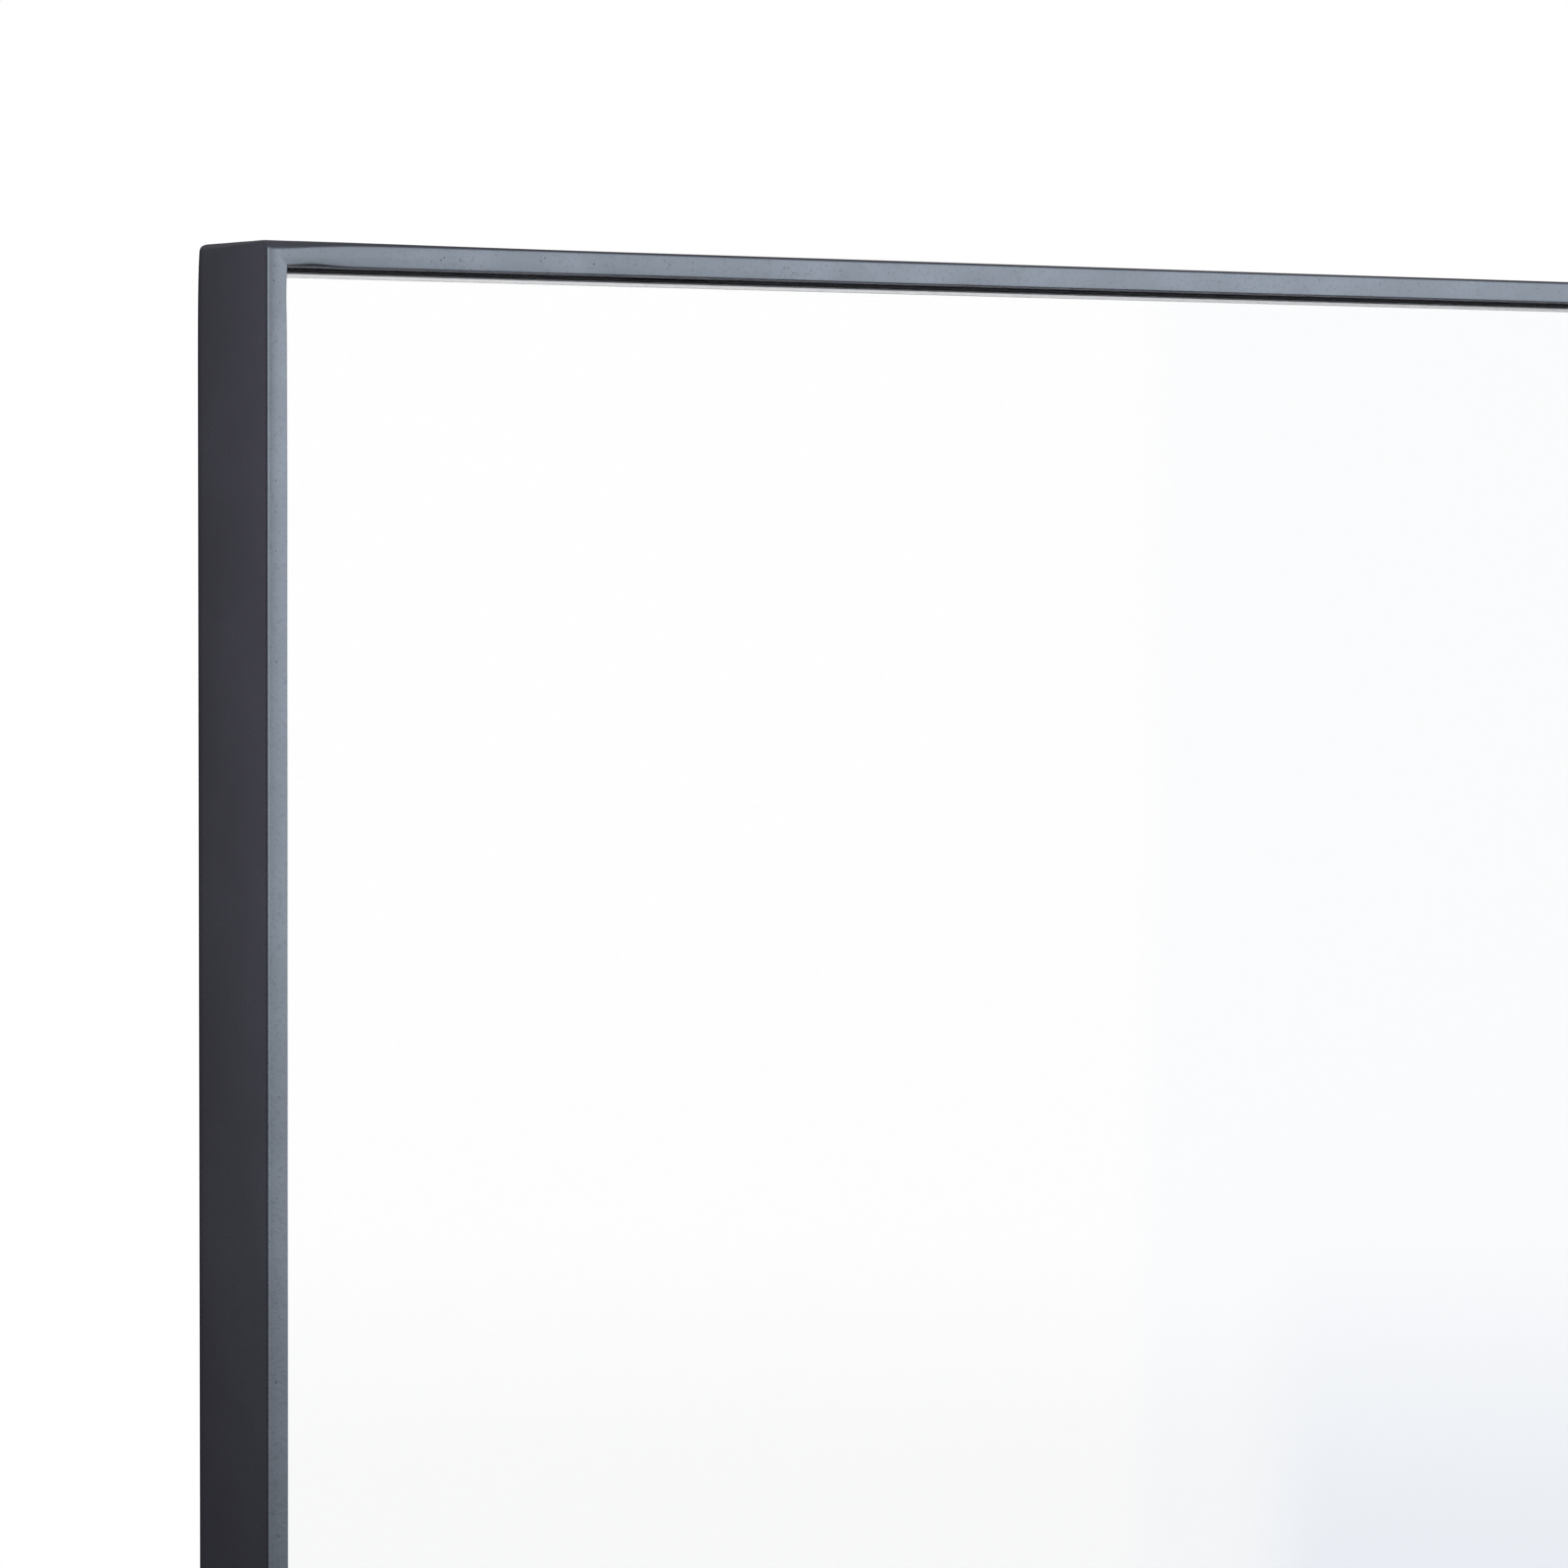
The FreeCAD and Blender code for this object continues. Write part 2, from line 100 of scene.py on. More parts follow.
def tint(name, description, default):
    """A property that is a colour."""
    return FloatVectorProperty(
        name=name, description=description, default=default, subtype="COLOR", min=0, max=1)


class FrameSettings(bpy.types.PropertyGroup):
    """Shape and finish of the welded bars."""

    outer_ease: length("Outer ease", "Round of the outer front edge of a stile", 0.0005)
    inner_ease: length("Inner ease", "Round of the front edge round the glass", 0.00003)
    rear_ease: length("Rear ease", "Round of the edges at the wall side", 0.0005)
    rail_ease: length(
        "Rail ease", "Round of the outer front edge of a rail, away from the corners", 0.00115)
    rail_corner_ease: length(
        "Rail corner ease", "Extra round that grinding left on a rail next to a corner", 0.0011)
    rail_corner_reach: length(
        "Rail corner reach", "How far along a rail the extra round fades", 0.014)
    corner_round_front: length("Front corner round", "Corner radius at the front", 0.0009)
    corner_round_rear: length("Rear corner round", "Corner radius at the wall side", 0.0024)
    corner_lean: length(
        "Corner lean", "How far grinding took back the rear edge at a corner", 0.0012)
    corner_lean_reach: length(
        "Corner lean reach", "How far from the corner the rear edge leans", 0.006)
    front_crown: length("Front crown", "How far the front face falls away at its edges", 0.00014)
    outer_crown: length(
        "Outer crown", "How far the outer face falls away at its front and rear edges", 0.00028)
    waviness: length("Waviness", "Depth of the long waves left by rolling and grinding", 0.00004)
    edge_waviness: length("Edge waviness", "How far the inner front edge wanders", 0.00012)
    coat_bead: length(
        "Coat bead", "How far the coat builds up on the sides in front of the glass", 0.0002)
    weld_dip: length(
        "Weld dip", "How far the inner front edge was cut back in cleaning off a weld", 0.0005)
    weld_dip_place: length("Weld dip place", "Distance of that dip from the end of the bar", 0.010)
    weld_dip_reach: length("Weld dip reach", "Half length of that dip", 0.006)
    coat_colour: tint("Coat", "Colour of the dark metallic coat's shine", (0.365, 0.417, 0.490))
    coat_roughness: share("Coat roughness", "Roughness of the metallic coat", 0.30)
    # The reveal coat on the faces round the glass is a darker copy of the coat: painted shade in
    # the reveal
    dry_colour: tint(
        "Dry coat", "Colour of the thinner, drier coat on the sides round the glass",
        (0.115, 0.12, 0.14))
    # Paler tone of the reveal coat next to the glass: painted light
    deep_colour: tint(
        "Deep coat", "Colour of the drier coat next to the glass", (0.56, 0.58, 0.68))
    dry_roughness: share("Dry roughness", "Roughness of the drier coat", 0.58)


class MirrorSettings(bpy.types.PropertyGroup):
    """Finish of the glass and of what is bonded behind it."""

    glass_colour: tint("Glass", "Tint of the float glass", (1.0, 1.0, 1.0))
    ground_colour: tint("Ground edge", "Colour of the ground arris", (0.99, 0.995, 1.0))
    # Dark rim of the ground arris: painted shade where the glass meets the frame
    rim_colour: tint(
        "Rim", "Colour of the ground edge at the rim of the glass", (0.03, 0.032, 0.036))
    arris: length("Arris", "Width of the ground arris round the glass", 0.001)
    silver_colour: tint("Silver", "Colour of the silvering", (1.0, 1.0, 1.0))
    silver_gap: length(
        "Silver gap", "Hair of space between the glass and its silvering", 0.00002)
    paint_colour: tint(
        "Backing paint", "Colour of the paint over the silvering", (0.20, 0.22, 0.21))
    film_colour: tint("Film", "Colour of the safety film", (0.42, 0.48, 0.55))
    foam_colour: tint("Foam", "Colour of the foam tape", (0.72, 0.72, 0.70))
    board_colour: tint("Board", "Colour of the fibreboard", (0.30, 0.19, 0.105))
    sealer_colour: tint(
        "Board sealer", "Colour of the paint on the board's front and edges", (0.30, 0.30, 0.31))


class HardwareSettings(bpy.types.PropertyGroup):
    """Shape and finish of the tabs, welds, screws, hangers and bumpers."""

    tab_round: length("Tab round", "Corner radius of a tab's free end", 0.005)
    tab_ease: length("Tab ease", "Round of a tab's edges", 0.00025)
    tab_hole: length("Tab hole", "Radius of a tab's screw hole", 0.00185)
    ripple_pitch: length("Ripple pitch", "Distance between the ripples of a weld", 0.0011)
    ripple_depth: share(
        "Ripple depth", "Depth of the ripples as a share of the weld's leg", 0.09)
    head_height: length("Head height", "Height of a screw's head", 0.0017)
    head_crown: length("Head crown", "Rise of a screw head's dome", 0.0007)
    drive_width: length("Drive width", "Width of the cross recess", 0.0009)
    drive_span: length("Drive span", "Span of the cross recess", 0.0036)
    drive_depth: length("Drive depth", "Depth of the cross recess", 0.0011)
    shank_radius: length("Shank", "Radius of a screw over its thread", 0.0017)
    thread_pitch: length("Thread pitch", "Pitch of a screw's thread", 0.0012)
    thread_depth: length("Thread depth", "Depth of a screw's thread", 0.0004)
    strap_thickness: length("Strap thickness", "Thickness of a hanger strap's strip", 0.0009)
    strap_neck: length(
        "Strap neck", "Radius of the bend from a strap's eye to its upper leaf", 0.0012)
    strap_round: length("Strap round", "Corner radius of a strap's tail", 0.004)
    strap_ease: length("Strap ease", "Round of a strap's edges", 0.00014)
    bumper_round: length("Bumper round", "Round of a bumper's rim", 0.0008)
    bumper_dish: length("Bumper dish", "Depth of the dish in a bumper's face", 0.0003)
    nickel_colour: tint("Nickel", "Colour of the plated hangers", (0.62, 0.59, 0.53))
    zinc_colour: tint("Zinc", "Colour of the plated screws", (0.58, 0.60, 0.62))
    rubber_colour: tint("Rubber", "Colour of the bumpers and blocks", (0.022, 0.022, 0.023))


class StageSettings(bpy.types.PropertyGroup):
    """Camera, lights and floor."""

    camera_place: FloatVectorProperty(
        name="Camera", description="Place of the camera", default=(-0.77706, -0.9485, 0.41476),
        subtype="TRANSLATION", unit="LENGTH")
    camera_turn: bearing("Turn", "Turn of the view to the right of the wall's normal", 33.298)
    camera_tilt: bearing("Tilt", "Tilt of the view above the horizon", -3.888)
    camera_roll: bearing("Roll", "Roll of the view", 0.356)
    lens: FloatProperty(
        name="Lens", description="Focal length on a 36 mm sensor, in millimetres", default=113.3)
    floor_size: length("Floor", "Width of the floor", 3.2)
    floor_colour: tint("Floor colour", "Colour of the floor", (0.80, 0.80, 0.80))
    floor_glow: share("Floor glow", "Share of the floor's look that is plain white", 0.55)
    dim_colour: tint(
        "Dim rear", "Colour of the studio behind the mirror as gloss sees it",
        (0.046, 0.039, 0.043))
    patch_colour: tint(
        "Left patch", "Colour of the paler patch behind on the left", (0.202, 0.173, 0.191))
    wall_colour: tint(
        "Right wall", "Colour of the paler wall behind on the right", (0.55, 0.55, 0.56))
    grey_colour: tint(
        "Front sides", "Colour of the studio in front, to the sides", (0.12, 0.12, 0.126))
    ceiling_colour: tint("Ceiling", "Colour of the studio overhead", (0.15, 0.135, 0.142))
    ground_colour: tint(
        "Far ground", "Colour of the studio below the white backdrop", (0.03, 0.028, 0.03))
    shade_colour: tint(
        "Low shade", "Colour that the studio shades to low down", (0.70, 0.78, 0.90))
    ambient_colour: tint(
        "Ambient colour", "Colour of the even light from all round", (0.96, 0.98, 1.0))
    key_power: FloatProperty(
        name="Key", description="Power of the soft key light, in watts", default=45.0)
    ambient: FloatProperty(
        name="Ambient", description="Level of the even light from all round", default=0.50)


class WallMirrorSettings(bpy.types.PropertyGroup):
    """Everything about the mirror that a user would change."""

    frame: PointerProperty(type=FrameSettings)
    mirror: PointerProperty(type=MirrorSettings)
    hardware: PointerProperty(type=HardwareSettings)
    stage: PointerProperty(type=StageSettings)


# Shader nodes

WHITE = (1.0, 1.0, 1.0, 1.0)

# Sockets of a mix node that mixes colours
MIX_FACTOR, MIX_FIRST, MIX_SECOND, MIX_RESULT = 0, 6, 7, 2


def feed(tree, node, inputs):
    """Set a node's inputs to values, or link them to the sockets given instead."""
    for name, value in inputs.items():
        socket = node.inputs[name]
        if isinstance(value, bpy.types.NodeSocket):
            tree.links.new(value, socket)
        else:
            socket.default_value = value


def add_node(tree, kind, inputs=None, **settings):
    """Add a node with its own settings and feed its inputs."""
    node = tree.nodes.new(kind)
    for name, value in settings.items():
        setattr(node, name, value)
    feed(tree, node, inputs or {})
    return node


def colour(value):
    """A colour property as the four numbers of a socket."""
    return (*value, 1.0)


def toned(base, factor):
    """A base colour made darker or paler."""
    return colour([factor * part for part in base])


def object_point(tree):
    """Object coordinates, which are the part's own frame in metres."""
    return add_node(tree, "ShaderNodeTexCoord").outputs["Object"]


def object_axes(tree):
    """Object coordinates as X, Y and Z."""
    return add_node(tree, "ShaderNodeSeparateXYZ", {"Vector": object_point(tree)}).outputs


def blend_colour(tree, factor, first, second):
    """Mix two colours by a mask."""
    node = add_node(tree, "ShaderNodeMix", {
        MIX_FACTOR: factor, MIX_FIRST: first, MIX_SECOND: second}, data_type="RGBA")
    return node.outputs[MIX_RESULT]


def blend_tones(tree, factor, base, low, high):
    """Mix two tones of a base colour by a mask."""
    return blend_colour(tree, factor, toned(base, low), toned(base, high))


def math_node(tree, operation, *values):
    """One step of arithmetic on values or sockets."""
    node = add_node(tree, "ShaderNodeMath", dict(enumerate(values)), operation=operation)
    return node.outputs[0]


def times(tree, first, second):
    """A product."""
    return math_node(tree, "MULTIPLY", first, second)


def ramp(tree, value, low, high, to_low=0.0, to_high=1.0, smooth=True):
    """Map a value from one range to another, held at the ends."""
    node = add_node(tree, "ShaderNodeMapRange", {
        "Value": value, "From Min": low, "From Max": high, "To Min": to_low, "To Max": to_high,
    }, interpolation_type="SMOOTHSTEP" if smooth else "LINEAR")
    return node.outputs["Result"]


def noise_at(tree, point, scale, detail, roughness=0.5, distortion=0.0):
    """Noise at a point."""
    return add_node(tree, "ShaderNodeTexNoise", {
        "Vector": point, "Scale": scale, "Detail": detail, "Roughness": roughness,
        "Distortion": distortion}).outputs


def from_outline(tree, half_width, half_height):
    """Distance in from the outline of a rectangle about the origin, seen from the front."""
    axes = object_axes(tree)
    side = math_node(tree, "SUBTRACT", half_width, math_node(tree, "ABSOLUTE", axes["X"]))
    end = math_node(tree, "SUBTRACT", half_height, math_node(tree, "ABSOLUTE", axes["Z"]))
    return math_node(tree, "MINIMUM", side, end)


def new_group(name, inputs, outputs):
    """An empty shader node group, with what it is given and what it results in."""
    tree = bpy.data.node_groups.new(name, "ShaderNodeTree")
    for label, value in inputs.items():
        kind = "NodeSocketVector" if isinstance(value, tuple) else "NodeSocketFloat"
        tree.interface.new_socket(label, in_out="INPUT", socket_type=kind).default_value = value
    for label in outputs:
        tree.interface.new_socket(label, in_out="OUTPUT", socket_type="NodeSocketFloat")
    return tree, tree.nodes.new("NodeGroupInput").outputs, tree.nodes.new("NodeGroupOutput").inputs


def use_group(tree, make, **inputs):
    """Place a shared group, built once under its maker's name, with a material's own values."""
    group = bpy.data.node_groups.get(make.__name__) or make(make.__name__)
    values = {name.replace("_", " "): value for name, value in inputs.items()}
    return add_node(tree, "ShaderNodeGroup", values, node_tree=group).outputs


def surface_grain(name):
    """Stretched noise of two sizes: a height for bump and a slow tone for colour."""
    tree, given, result = new_group(
        name, {"Scale": 800.0, "Slow Scale": 20.0, "Stretch": (1.0, 1.0, 1.0)},
        ("Height", "Tone"))
    place = add_node(tree, "ShaderNodeVectorMath", {
        0: object_point(tree), 1: given["Stretch"]}, operation="MULTIPLY").outputs[0]
    fine = noise_at(tree, place, given["Scale"], detail=2.0, roughness=0.55)
    slow = noise_at(tree, place, given["Slow Scale"], detail=4.0, roughness=0.6)
    tree.links.new(fine["Fac"], result["Height"])
    tree.links.new(slow["Fac"], result["Tone"])
    return tree


# Pits: the scale and the reach of their raggedness, the random number from which a cell has one
# and the number of the largest, their smallest and largest share of the size, and their soft rim
PIT_RAGGED_SCALE = 2.2
PIT_RAGGED = (0.7, 0.7, 0.7)
PIT_CHOSEN, PIT_LARGEST = 0.5, 0.85
PIT_SIZES = (0.5, 1.2)
PIT_RIM = 0.12


def scattered_pits(name):
    """Small ragged pits in patches, of mixed sizes: a mask of one inside a pit."""
    tree, given, result = new_group(
        name, {"Scale": 700.0, "Size": 0.25, "Patch Scale": 40.0, "Cover": 0.5}, ("Mask",))
    point = object_point(tree)
    scaled = add_node(tree, "ShaderNodeVectorMath", {
        0: point, "Scale": given["Scale"]}, operation="SCALE").outputs[0]
    ragged = noise_at(tree, scaled, PIT_RAGGED_SCALE, detail=2.0)
    shifted = add_node(tree, "ShaderNodeVectorMath", {
        0: ragged["Color"], 1: PIT_RAGGED, 2: scaled}, operation="MULTIPLY_ADD").outputs[0]
    cells = add_node(tree, "ShaderNodeTexVoronoi", {"Vector": shifted, "Scale": 1.0}).outputs
    chosen = math_node(tree, "GREATER_THAN", cells["Color"], PIT_CHOSEN)
    size = ramp(tree, cells["Color"], PIT_CHOSEN, PIT_LARGEST, *PIT_SIZES)
    inside = math_node(tree, "SUBTRACT", times(tree, given["Size"], size), cells["Distance"])
    patch = noise_at(tree, point, given["Patch Scale"], detail=1.0)
    limit = math_node(tree, "SUBTRACT", 1.0, given["Cover"])
    cover = ramp(tree, math_node(tree, "SUBTRACT", patch["Fac"], limit), 0.0, PIT_RIM)
    masked = times(tree, ramp(tree, inside, 0.0, PIT_RIM), times(tree, chosen, cover))
    tree.links.new(masked, result["Mask"])
    return tree


def handling_marks(name):
    """Soft smudges from hands and cloths: a mask for roughness."""
    tree, given, result = new_group(name, {"Scale": 14.0}, ("Mask",))
    smudge = noise_at(
        tree, object_point(tree), given["Scale"], detail=5.0, roughness=0.65, distortion=0.8)
    tree.links.new(ramp(tree, smudge["Fac"], 0.35, 0.75), result["Mask"])
    return tree


# Materials

GLASS_IOR = 1.52
FAINT = 0.9995
DUST = 0.05
WEAVE_SCALE = 160.0
SEAL_REACH = 0.0004

# Where the row of pits on a bar's front fades out and in, as shares of its face
PIT_ROW = ((0.9, 0.6), (0.2, 0.45))

# Share of its shine that the reveal coat keeps at a glancing angle, at the front: painted shade
# that dims its gloss there
FRONT_GLANCE_SHADE = (0.48, 0.49, 0.54, 1.0)

# Share of the arris that stays dark with painted shade at the rim next to the frame, and the share
# over which it turns pale
RIM_SHARE = 0.30
RIM_FADE = 0.14


def new_material(name):
    """A material with one principled shader, and that shader."""
    material = bpy.data.materials.new(name)
    material.use_nodes = True
    tree = material.node_tree
    tree.nodes.clear()
    shader = tree.nodes.new("ShaderNodeBsdfPrincipled")
    add_node(tree, "ShaderNodeOutputMaterial", {"Surface": shader.outputs["BSDF"]})
    return material, tree, shader


def bump(tree, shader, height, strength, depth):
    """Raise the surface by a height map, depth in metres."""
    node = add_node(tree, "ShaderNodeBump", {
        "Height": height, "Strength": strength, "Distance": depth})
    tree.links.new(node.outputs["Normal"], shader.inputs["Normal"])


def bar_coat(name, base, roughness, deep=None):
    """Satin coat of the bars: mottling, orange peel, a row of pits, smudges; on the reveal,
    painted light paler deep inside and painted shade dimming the gloss at its front.
    """
    material, tree, shader = new_material(name)
    grain = use_group(tree, surface_grain, Scale=1500.0, Slow_Scale=30.0)
    pits = use_group(tree, scattered_pits, Scale=1000.0, Size=0.38, Patch_Scale=24.0, Cover=0.60)
    marks = use_group(tree, handling_marks, Scale=16.0)
    across = from_outline(tree, HALF_WIDTH, HALF_HEIGHT)
    row = times(tree, *(ramp(tree, across, a * BAR_FACE, b * BAR_FACE) for a, b in PIT_ROW))
    specks = times(tree, pits["Mask"], row)
    slow = blend_tones(tree, ramp(tree, grain["Tone"], 0.35, 0.7), base, low=0.935, high=1.07)
    fine = ramp(tree, grain["Height"], 0.5, 0.72, to_high=0.9)
    mottled = blend_colour(tree, fine, slow, toned(base, factor=0.86))
    tone = blend_colour(tree, specks, mottled, toned(base, factor=0.42))
    # On the reveal: painted light that pales the coat towards the glass, and painted shade that
    # dims its gloss at the front
    if deep:
        inside = ramp(tree, object_axes(tree)["Y"], FRONT_Y, GLASS_LOW.y)
        tone = blend_colour(tree, inside, tone, colour(deep))
        feed(tree, shader, {"Specular Tint": blend_colour(tree, inside, FRONT_GLANCE_SHADE, WHITE)})
    worn = ramp(tree, marks["Mask"], 0.0, 1.0, to_low=roughness, to_high=roughness + 0.05)
    rough = math_node(tree, "ADD", worn, times(tree, specks, 0.10))
    feed(tree, shader, {"Base Color": tone, "Roughness": rough, "Metallic": 1.0})
    height = math_node(tree, "ADD", grain["Height"], times(tree, specks, -0.4))
    bump(tree, shader, height, strength=0.3, depth=0.00005)
    return material


def float_glass(settings):
    """Clear float glass with the faintest ream in it."""
    material, tree, shader = new_material("float_glass")
    ream = use_group(tree, surface_grain, Scale=30.0, Slow_Scale=2.5, Stretch=(1.0, 1.0, 0.2))
    feed(tree, shader, {
        "Base Color": blend_tones(tree, ream["Tone"], settings.glass_colour, 1.0, FAINT),
        "Roughness": 0.0, "IOR": GLASS_IOR, "Transmission Weight": 1.0})
    return material


def ground_edge(settings):
    """Ground glass edge: frosted, painted shade dark at the rim next to the frame, and the lines
    of the wheel.
    """
    material, tree, shader = new_material("ground_glass_edge")
    dark = RIM_SHARE * settings.arris
    from_rim = from_outline(tree, GLASS_HIGH.x, GLASS_HIGH.z)
    inward = ramp(tree, from_rim, dark, dark + RIM_FADE * settings.arris)
    wheel = use_group(tree, surface_grain, Scale=2600.0, Slow_Scale=500.0)
    rim = colour(settings.rim_colour)
    frost = blend_colour(tree, inward, rim, colour(settings.ground_colour))
    streaks = ramp(tree, wheel["Tone"], 0.3, 0.7, to_high=0.03)
    feed(tree, shader, {
        "Base Color": blend_colour(tree, streaks, frost, rim),
        "Roughness": ramp(tree, wheel["Tone"], 0.2, 0.8, to_low=0.60, to_high=0.72),
        "IOR": GLASS_IOR, "Transmission Weight": 1.0})
    bump(tree, shader, wheel["Height"], strength=0.4, depth=0.00003)
    return material


def silvering(settings):
    """Silver behind the glass, with the faintest drift of tone."""
    material, tree, shader = new_material("mirror_silvering")
    grain = use_group(tree, surface_grain, Scale=400.0, Slow_Scale=3.0)
    feed(tree, shader, {
        "Base Color": blend_tones(tree, grain["Tone"], settings.silver_colour, 1.0, FAINT),
        "Roughness": 0.0, "Metallic": 1.0})
    return material


def backing_paint(settings):
    """Grey paint that seals the silvering, with the faint streaks of its roller."""
    material, tree, shader = new_material("mirror_backing_paint")
    streaks = use_group(
        tree, surface_grain, Scale=300.0, Slow_Scale=60.0, Stretch=(1.0, 1.0, 0.08))
    tone = ramp(tree, streaks["Tone"], 0.3, 0.7)
    feed(tree, shader, {
        "Base Color": blend_tones(tree, tone, settings.paint_colour, low=0.8, high=1.0),
        "Roughness": ramp(tree, tone, 0.0, 1.0, to_low=0.45, to_high=0.6)})
    bump(tree, shader, streaks["Height"], strength=0.2, depth=0.00003)
    return material


def woven_film(settings):
    """Safety film with a fine reinforcing weave."""
    material, tree, shader = new_material("woven_safety_film")
    waves = {"Vector": object_point(tree), "Scale": WEAVE_SCALE}
    threads = [
        add_node(tree, "ShaderNodeTexWave", waves, bands_direction=axis).outputs["Fac"]
        for axis in "XZ"]
    weave = times(tree, *threads)
    feed(tree, shader, {
        "Base Color": blend_tones(tree, weave, settings.film_colour, low=0.75, high=1.0),
        "Roughness": ramp(tree, weave, 0.0, 1.0, to_low=0.6, to_high=0.35)})
    bump(tree, shader, weave, strength=0.5, depth=0.0001)
    return material


def foam(settings):
    """Closed-cell foam tape."""
    material, tree, shader = new_material("foam_tape")
    pits = use_group(tree, scattered_pits, Scale=1600.0, Size=0.42, Patch_Scale=60.0, Cover=0.9)
    cells = pits["Mask"]
    feed(tree, shader, {
        "Base Color": blend_tones(tree, cells, settings.foam_colour, low=1.0, high=0.7),
        "Roughness": ramp(tree, cells, 0.0, 1.0, to_low=0.8, to_high=0.95)})
    bump(tree, shader, math_node(tree, "SUBTRACT", 1.0, cells), strength=0.5, depth=0.00015)
    return material


def sealed_edge(tree):
    """A mask over the board's edges and front, which are sealed with grey paint."""
    low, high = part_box("backing_board")
    depth = object_axes(tree)["Y"]
    rim = math_node(tree, "LESS_THAN", from_outline(tree, high.x, high.z), SEAL_REACH)
    front = math_node(tree, "LESS_THAN", depth, low.y + SEAL_REACH)
    not_rear = math_node(tree, "LESS_THAN", depth, high.y - SEAL_REACH)
    return times(tree, math_node(tree, "MAXIMUM", rim, front), not_rear)


def fibreboard(settings):
    """Raw fibreboard: matted fibres, dark flecks, and a sealed front and edges."""
    material, tree, shader = new_material("raw_fibreboard")
    fibres = use_group(
        tree, surface_grain, Scale=700.0, Slow_Scale=9.0, Stretch=(1.0, 1.0, 0.45))
    flecks = use_group(tree, scattered_pits, Scale=1600.0, Size=0.34, Patch_Scale=30.0, Cover=0.6)
    marks = use_group(tree, handling_marks, Scale=5.0)
    base = settings.board_colour
    slow = ramp(tree, fibres["Tone"], 0.3, 0.7)
    ground = blend_tones(tree, slow, base, low=0.93, high=1.07)
    fine = ramp(tree, fibres["Height"], 0.35, 0.7, to_high=0.55)
    matted = blend_colour(tree, fine, ground, toned(base, factor=0.70))
    spots = times(tree, flecks["Mask"], 0.4)
    spotted = blend_colour(tree, spots, matted, toned(base, factor=0.5))
    sealer = colour(settings.sealer_colour)
    feed(tree, shader, {
        "Base Color": blend_colour(tree, sealed_edge(tree), spotted, sealer),
        "Roughness": ramp(tree, marks["Mask"], 0.0, 1.0, to_low=0.62, to_high=0.8)})
    bump(tree, shader, fibres["Height"], strength=0.35, depth=0.00012)
    return material


def plated_steel(name, base, roughness, scratch):
    """Plated steel with rolling lines, a little tarnish and handling marks."""
    material, tree, shader = new_material(name)
    lines = use_group(tree, surface_grain, Scale=500.0, Slow_Scale=120.0, Stretch=scratch)
    marks = use_group(tree, handling_marks, Scale=150.0)
    tarnish = times(tree, marks["Mask"], 0.55)
    rough = ramp(
        tree, lines["Tone"], 0.25, 0.75, to_low=roughness, to_high=roughness + 0.16)
    feed(tree, shader, {
        "Base Color": blend_tones(tree, tarnish, base, low=1.0, high=0.62),
        "Roughness": rough, "Metallic": 1.0})
    bump(tree, shader, lines["Height"], strength=0.25, depth=0.00003)
    return material


def soft_rubber(settings):
    """Moulded rubber with a fine matt texture and dust."""
    material, tree, shader = new_material("moulded_rubber")
    grain = use_group(tree, surface_grain, Scale=1800.0, Slow_Scale=180.0)
    base = settings.rubber_colour
    dusty = colour([DUST + part for part in base])
    dust = ramp(tree, grain["Tone"], 0.45, 0.85, to_high=0.5)
    feed(tree, shader, {
        "Base Color": blend_colour(tree, dust, colour(base), dusty),
        "Roughness": ramp(tree, grain["Height"], 0.2, 0.8, to_low=0.6, to_high=0.75)})
    bump(tree, shader, grain["Height"], strength=0.3, depth=0.00004)
    return material


def coat_node(name, material):
    """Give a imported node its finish."""
    slots = NODES[name].data.materials
    slots.clear()
    slots.append(material)


# Pieces

# How near two points count as one, and the angle from which an edge stays sharp
NEAR = 1e-6
SHARP = math.radians(35)


def move_part(bm, offset):
    """Shift a whole part."""
    bmesh.ops.translate(bm, verts=bm.verts, vec=offset)


def turn_part(bm, angle):
    """Turn a whole part about Y."""
    turn = Matrix.Rotation(angle, 3, "Y")
    bmesh.ops.rotate(bm, verts=bm.verts, cent=(0.0, 0.0, 0.0), matrix=turn)


def quarter_turn(steps):
    """Angles from zero to a quarter turn."""
    return [math.pi / 2 * step / steps for step in range(steps + 1)]


def solid_boxes(node):
    """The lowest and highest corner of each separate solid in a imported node."""
    bm = bmesh.new()
    bm.from_mesh(NODES[node].data)
    bmesh.ops.remove_doubles(bm, verts=bm.verts, dist=NEAR)
    boxes = []
    waiting = set(bm.verts)
    while waiting:
        solid = [waiting.pop()]
        for vert in solid:
            for edge in vert.link_edges:
                other = edge.other_vert(vert)
                if other in waiting:
                    waiting.remove(other)
                    solid.append(other)
        columns = list(zip(*(vert.co for vert in solid)))
        boxes.append((Vector(map(min, columns)), Vector(map(max, columns))))
    bm.free()
    return sorted(boxes, key=lambda box: tuple(box[0]))


def join_part(bm, part):
    """Add a finished part to a piece that holds several."""
    mesh = bpy.data.meshes.new("part")
    part.to_mesh(mesh)
    part.free()
    bm.from_mesh(mesh)
    bpy.data.meshes.remove(mesh)


def turned_part(profile, steps):
    """A part turned about Y from a profile of radius and Y."""
    bm = bmesh.new()
    line = [bm.verts.new((radius, y, 0.0)) for radius, y in profile]
    edges = [bm.edges.new(pair) for pair in zip(line, line[1:])]
    bmesh.ops.spin(
        bm, geom=line + edges, cent=(0.0, 0.0, 0.0), axis=(0.0, 1.0, 0.0), angle=math.tau,
        steps=steps, use_merge=True)
    bmesh.ops.remove_doubles(bm, verts=bm.verts, dist=NEAR)
    return bm


def slab(low, high):
    """A plain block between two corners."""
    bm = bmesh.new()
    bmesh.ops.create_cube(bm, size=1.0)
    bmesh.ops.scale(bm, verts=bm.verts, vec=high - low)
    move_part(bm, (low + high) / 2)
    return bm


